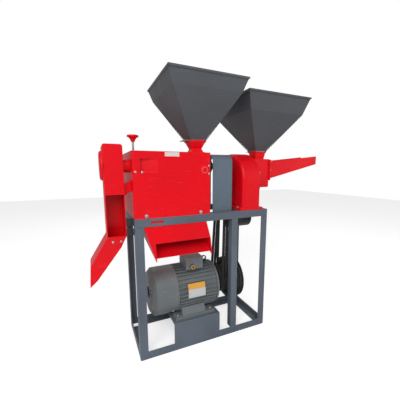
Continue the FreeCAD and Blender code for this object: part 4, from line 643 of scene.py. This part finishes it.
def columnDetails():
    low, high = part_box("air_column")
    spoutLow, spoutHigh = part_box("rice_chute")
    left, right = low.x + 0.010, high.x
    front = spoutLow.y
    r = columnTrim["hem"]
    mouthTop = columnTrim["mouthTop"]
    edge = front + r * 0.6
    hems = []
    for x in (left + r, right - r):
        hems += tube(np.linspace((x, edge, low.z + 0.002), (x, edge, mouthTop), 12), r, sides=8)
    hems += tube(np.linspace((left + r, edge, mouthTop), (right - r, edge, mouthTop), 12), r, sides=8)
    piece("column_hems", hems, paint["redEnamel"], "stand", sharp=80)
    dome = [(0, -0.0030), (0.0024, -0.0028), (0.0042, -0.0018), (0.0048, 0.0), (0, 0.0004)]
    screws = [turned(dome, (left + x, front, low.z - 0.018), axis="y", steps=20) for x in (0.018, 0.045)]
    piece("spout_screws", screws, paint["zincSteel"], "stand")
    # weld bead where the spout meets the column
    path = roundedSquare((left + 0.0006, front + 0.0006), (right - 0.0006, spoutHigh.y - 0.0006),
                         0.001, steps=3)
    bead = np.column_stack([path, np.full(len(path), low.z)])
    weld = tube(bead, 0.0013, closed=True, sides=8)
    piece("spout_weld", weld, paint["redEnamel"], "stand", sharp=80)


columnDetails()
print("column dressed")


# stand: weld beads at the leg corners and across the post

weldLook = {"radius": 0.0022, "ripple": 0.25}


def weldLine(start, end, steps=40):
    # straight bead whose radius ripples like laid-down weld
    s = np.linspace(0, 1, steps)[:, None]
    path = np.asarray(start) * (1 - s) + np.asarray(end) * s
    size = weldLook["radius"] * (1 + weldLook["ripple"] * np.sin(np.linspace(0, steps * 1.3, steps)))
    size[0] = size[-1] = weldLook["radius"] * 0.3
    return tube(path, size, sides=8)


def standWelds():
    low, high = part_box("front_legs")
    postLow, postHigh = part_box("frame_post")
    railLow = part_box("top_rail_front")[0]
    front, leg = low.y, 0.030
    parts = []
    inner = front + 0.0012
    for x0, x1 in ((low.x + 0.002, low.x + leg), (high.x - leg, high.x - 0.002), (postLow.x, postHigh.x)):
        parts += weldLine((x0, inner, railLow.z), (x1, inner, railLow.z))
    for x in (low.x + leg, high.x - leg, postLow.x, postHigh.x):
        parts += weldLine((x, inner, 0.003), (x, inner, leg - 0.001), steps=24)
    stoolLow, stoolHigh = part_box("motor_stool")
    for x0, x1 in ((stoolLow.x + 0.02, stoolLow.x + 0.07), (stoolHigh.x - 0.07, stoolHigh.x - 0.02)):
        parts += weldLine((x0, inner, leg), (x1, inner, leg))
    piece("stand_welds", parts, paint["frameEnamel"], "stand", sharp=80)


standWelds()
print("stand welded")


# motor: rating plate left bare, cover screws, lid screws, gland

motorTrim = {"plateWide": 0.076}


def curvedPlate(name, angleLow, angleHigh, xLow, xHigh, radius, thick, material, body="stand"):
    # patch of a cylinder about the motor's axis: rows along x, columns round it, given a thickness outwards
    axisY, axisZ = middleOf("motor_drive_bell")[1:]
    x = np.linspace(xLow, xHigh, 14)
    angle = np.radians(np.linspace(angleLow, angleHigh, 14))
    xs, an = np.meshgrid(x, angle, indexing="ij")
    layers = []
    for r in (radius, radius + thick):
        layers.append(np.stack([xs, axisY - r * np.cos(an), axisZ + r * np.sin(an)], -1))
    inner, outer = layers
    rim = np.concatenate([np.arange(14), np.arange(1, 14) * 14 + 13, 13 * 14 + np.arange(12, -1, -1),
                          np.arange(12, 0, -1) * 14])
    wall = np.stack([inner.reshape(-1, 3)[rim], outer.reshape(-1, 3)[rim]])
    parts = [(inner, gridFaces(14, 14)), (outer, gridFaces(14, 14)),
             (wall, gridFaces(2, len(rim), closeColumns=True))]
    return piece(name, parts, material, body, sharp=50)


def motorDetails():
    shellRadius = 0.0995
    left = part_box("motor_stator")[0].x + 0.055
    right = left + motorTrim["plateWide"]
    curvedPlate("rating_plate", -8, 26, left, right, shellRadius, 0.0009, paint["platePale"])
    curvedPlate("rating_band", 13, 26, left + 0.0002, right - 0.0002, shellRadius + 0.0009, 0.0003,
                paint["plateYellow"])
    lowC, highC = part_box("motor_fan_cover")
    axisY, axisZ = middleOf("motor_fan_cover")[1:]
    coverRadius = (highC.z - lowC.z) / 2
    screws = []
    for degrees in (45, 135, 225, 315):
        turn = math.radians(degrees)
        place = np.array([highC.x - 0.010, axisY - coverRadius * 0.995 * math.cos(turn),
                          axisZ + coverRadius * 0.995 * math.sin(turn)])
        outward = np.array([0, -math.cos(turn), math.sin(turn)])
        screws += hexBolt(place - outward * 0.001, outward, 0.0046, 0.0038)
    piece("cover_screws", screws, paint["zincSteel"], "stand")
    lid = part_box("terminal_lid")
    heads = []
    for x in (lid[0].x + 0.008, lid[1].x - 0.008):
        for y in (lid[0].y + 0.008, lid[1].y - 0.008):
            pan = [(0, lid[1].z - 0.0008), (0.0020, lid[1].z - 0.0009), (0.0036, lid[1].z - 0.0016),
                   (0.0040, lid[1].z - 0.0040), (0, lid[1].z - 0.0042)]
            heads.append(turned(np.array(pan) + [0, 0.0020], (x, y, 0), steps=20))
    piece("lid_screws", heads, paint["zincSteel"], "stand")
    low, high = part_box("cable_gland")
    x, _, z = middleOf("cable_gland")
    outer = (high.x - low.x) / 2
    bore = 0.0046
    profile = [(bore, low.y + 0.0004), (bore + 0.0018, low.y), (outer * 0.80, low.y + 0.0016),
               (outer * 0.84, low.y + 0.004), (outer * 0.84, high.y - 0.0055),
               (bore, high.y - 0.0055), (bore, low.y + 0.0004)]
    dome = turned(np.array(profile), (x, 0, z), axis="y", steps=36)
    piece("gland_dome", [dome], paint["turnedBrass"], "stand")


motorDetails()
print("motor dressed")


# crusher: mouth flange and its bolts, tray hems

crusherTrim = {"flange": 0.009, "thick": 0.004, "hem": 0.0016, "flangeLow": 0.672, "holeLow": 0.6845,
               "holeHigh": 0.7515, "flangeOverTray": 0.088, "boltZ": (0.682, 0.718, 0.756), "hemStart": 0.757}


def crusherDetails():
    low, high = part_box("feed_mouth")
    trayLow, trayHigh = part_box("feed_tray")
    f = crusherTrim
    x = high.x
    outline = roundedSquare((low.y - f["flange"], f["flangeLow"]),
                            (high.y + f["flange"], trayLow.z + f["flangeOverTray"]), 0.004)
    hole = roundedSquare((low.y + 0.004, f["holeLow"]), (high.y - 0.004, f["holeHigh"]), 0.002)
    ring = np.stack([outline, hole])
    layers = [np.stack([np.full(ring.shape[:2], where), ring[..., 0], ring[..., 1]], -1)
              for where in (x + 0.0003, x + 0.0003 + f["thick"])]
    count = len(outline)
    parts = [(layer, gridFaces(2, count, closeColumns=True)) for layer in layers]
    for k in (0, 1):
        parts.append((np.stack([layers[0][k], layers[1][k]]), gridFaces(2, count, closeColumns=True)))
    piece("tray_flange", parts, paint["redEnamel"], "stand")
    bolts = []
    for y in (low.y - f["flange"] * 0.45, high.y + f["flange"] * 0.45):
        for z in f["boltZ"]:
            bolts += hexBolt((x + f["thick"], y, z), (1, 0, 0), 0.0042, 0.0036)
    piece("tray_bolts", bolts, paint["zincSteel"], "stand")
    hems = []
    r = f["hem"]
    for y in (trayLow.y + r, trayHigh.y - r):
        start, end = (trayLow.x + 0.004, y, f["hemStart"] - r), (trayHigh.x - r, y, trayHigh.z - r)
        hems += tube(np.linspace(start, end, 20), r, sides=8)
    piece("tray_hems", hems, paint["redEnamel"], "stand", sharp=80)


crusherDetails()
print("crusher dressed")


# cover bolts as a ring of true heads

coverRing = {"reach": 0.1025, "degrees": (50, 110, 170, 230, 290)}


def coverBolts():
    low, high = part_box("cover_bolts")
    axisY, axisZ = middleOf("crusher_shaft")[1:]
    reach = coverRing["reach"]
    parts = []
    for degrees in coverRing["degrees"]:
        turn = math.radians(degrees)
        parts += hexBolt((low.x, axisY + reach * math.sin(turn), axisZ + reach * math.cos(turn)), (1, 0, 0),
                         boltLook["size"], boltLook["tall"], turn=turn)
    piece("cover_bolt_heads", parts, paint["zincSteel"], "stand", replaced=("cover_bolts",))


coverBolts()
print("cover bolted")


# floor, light and camera

studio = {"floor": (0.9, 0.9, 0.9), "worldStrength": 0.36, "keyPower": 62, "fillPower": 9, "backPower": 8,
          "floorGlow": 0.52}


def whiteToCamera(tree, lit, output, socket):
    # camera rays see plain white; every other ray sees the lit surface or sky
    ray = tree.nodes.new("ShaderNodeLightPath")
    seen = ray.outputs["Is Camera Ray"]
    white = tree.nodes.new("ShaderNodeBackground")
    white.inputs["Color"].default_value = (1, 1, 1, 1)
    mix = tree.nodes.new("ShaderNodeMixShader")
    tree.links.new(seen, mix.inputs[0])
    tree.links.new(lit, mix.inputs[1])
    tree.links.new(white.outputs[0], mix.inputs[2])
    tree.links.new(mix.outputs[0], output.inputs[socket])


def makeStudio():
    world = bpy.data.worlds.new("studio")
    bpy.context.scene.world = world
    world.use_nodes = True
    tree = world.node_tree
    sky = tree.nodes["Background"]
    sky.inputs["Color"].default_value = (1, 1, 1, 1)
    sky.inputs["Strength"].default_value = studio["worldStrength"]
    whiteToCamera(tree, sky.outputs[0], tree.nodes["World Output"], "Surface")
    size = 6.0
    ground = bpy.data.meshes.new("floor")
    corners = [(x, y, -0.0006) for x, y in ((-size, -size), (size, -size), (size, size), (-size, size))]
    ground.from_pydata(corners, [], [(0, 1, 2, 3)])
    cover = bpy.data.materials.new("floorPaper")
    cover.use_nodes = True
    tree = cover.node_tree
    shader = tree.nodes["Principled BSDF"]
    shader.inputs["Base Color"].default_value = (*studio["floor"], 1)
    shader.inputs["Roughness"].default_value = 0.9
    shader.inputs["Specular IOR Level"].default_value = 0.0
    glow = tree.nodes.new("ShaderNodeEmission")    # lifts the paper to white for the camera, shadow kept
    glow.inputs["Strength"].default_value = studio["floorGlow"]
    add = tree.nodes.new("ShaderNodeAddShader")
    ray = tree.nodes.new("ShaderNodeLightPath")
    mix = tree.nodes.new("ShaderNodeMixShader")
    tree.links.new(shader.outputs[0], add.inputs[0])
    tree.links.new(glow.outputs[0], add.inputs[1])
    tree.links.new(ray.outputs["Is Camera Ray"], mix.inputs[0])
    tree.links.new(shader.outputs[0], mix.inputs[1])
    tree.links.new(add.outputs[0], mix.inputs[2])
    tree.links.new(mix.outputs[0], tree.nodes["Material Output"].inputs["Surface"])
    ground.materials.append(cover)
    floor = bpy.data.objects.new("floor", ground)
    bpy.context.scene.collection.objects.link(floor)
    floor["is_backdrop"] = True
    low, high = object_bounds()
    centre = (low + high) / 2
    for name, where, power, wide in (("key", (-1.5, -2.3, 2.3), studio["keyPower"], 2.2),
                                     ("fill", (2.2, -1.7, 1.3), studio["fillPower"], 2.0),
                                     ("back", (0.6, 2.4, 2.2), studio["backPower"], 2.0)):
        lamp = bpy.data.lights.new(name, "AREA")
        lamp.energy = power
        lamp.size = wide
        thing = bpy.data.objects.new(name, lamp)
        bpy.context.scene.collection.objects.link(thing)
        thing.location = where
        thing.rotation_euler = (centre - Vector(where)).to_track_quat("-Z", "Y").to_euler()


makeStudio()
print("studio lit")

view = {"eye": (-0.5108, -0.9523, 0.7225), "yaw": 24.36, "pitch": -9.0, "roll": -0.10, "lens": 22.156,
        "shiftX": -0.0072, "shiftY": 0.0207}


def makeCamera():
    yaw, pitch = math.radians(view["yaw"]), math.radians(view["pitch"])
    ahead = Vector((math.sin(yaw) * math.cos(pitch), math.cos(yaw) * math.cos(pitch), math.sin(pitch)))
    data = bpy.data.cameras.new("view")
    data.sensor_width = 36
    data.lens = view["lens"]
    data.shift_x = view["shiftX"]
    data.shift_y = view["shiftY"]
    data.clip_start = 0.02
    eye = bpy.data.objects.new("view", data)
    bpy.context.scene.collection.objects.link(eye)
    turn = ahead.to_track_quat("-Z", "Y").to_matrix() @ Matrix.Rotation(math.radians(view["roll"]), 3, "Z")
    eye.matrix_world = Matrix.Translation(view["eye"]) @ turn.to_4x4()
    bpy.context.scene.camera = eye
    bpy.context.scene.view_settings.view_transform = "Standard"


makeCamera()
print("camera set")
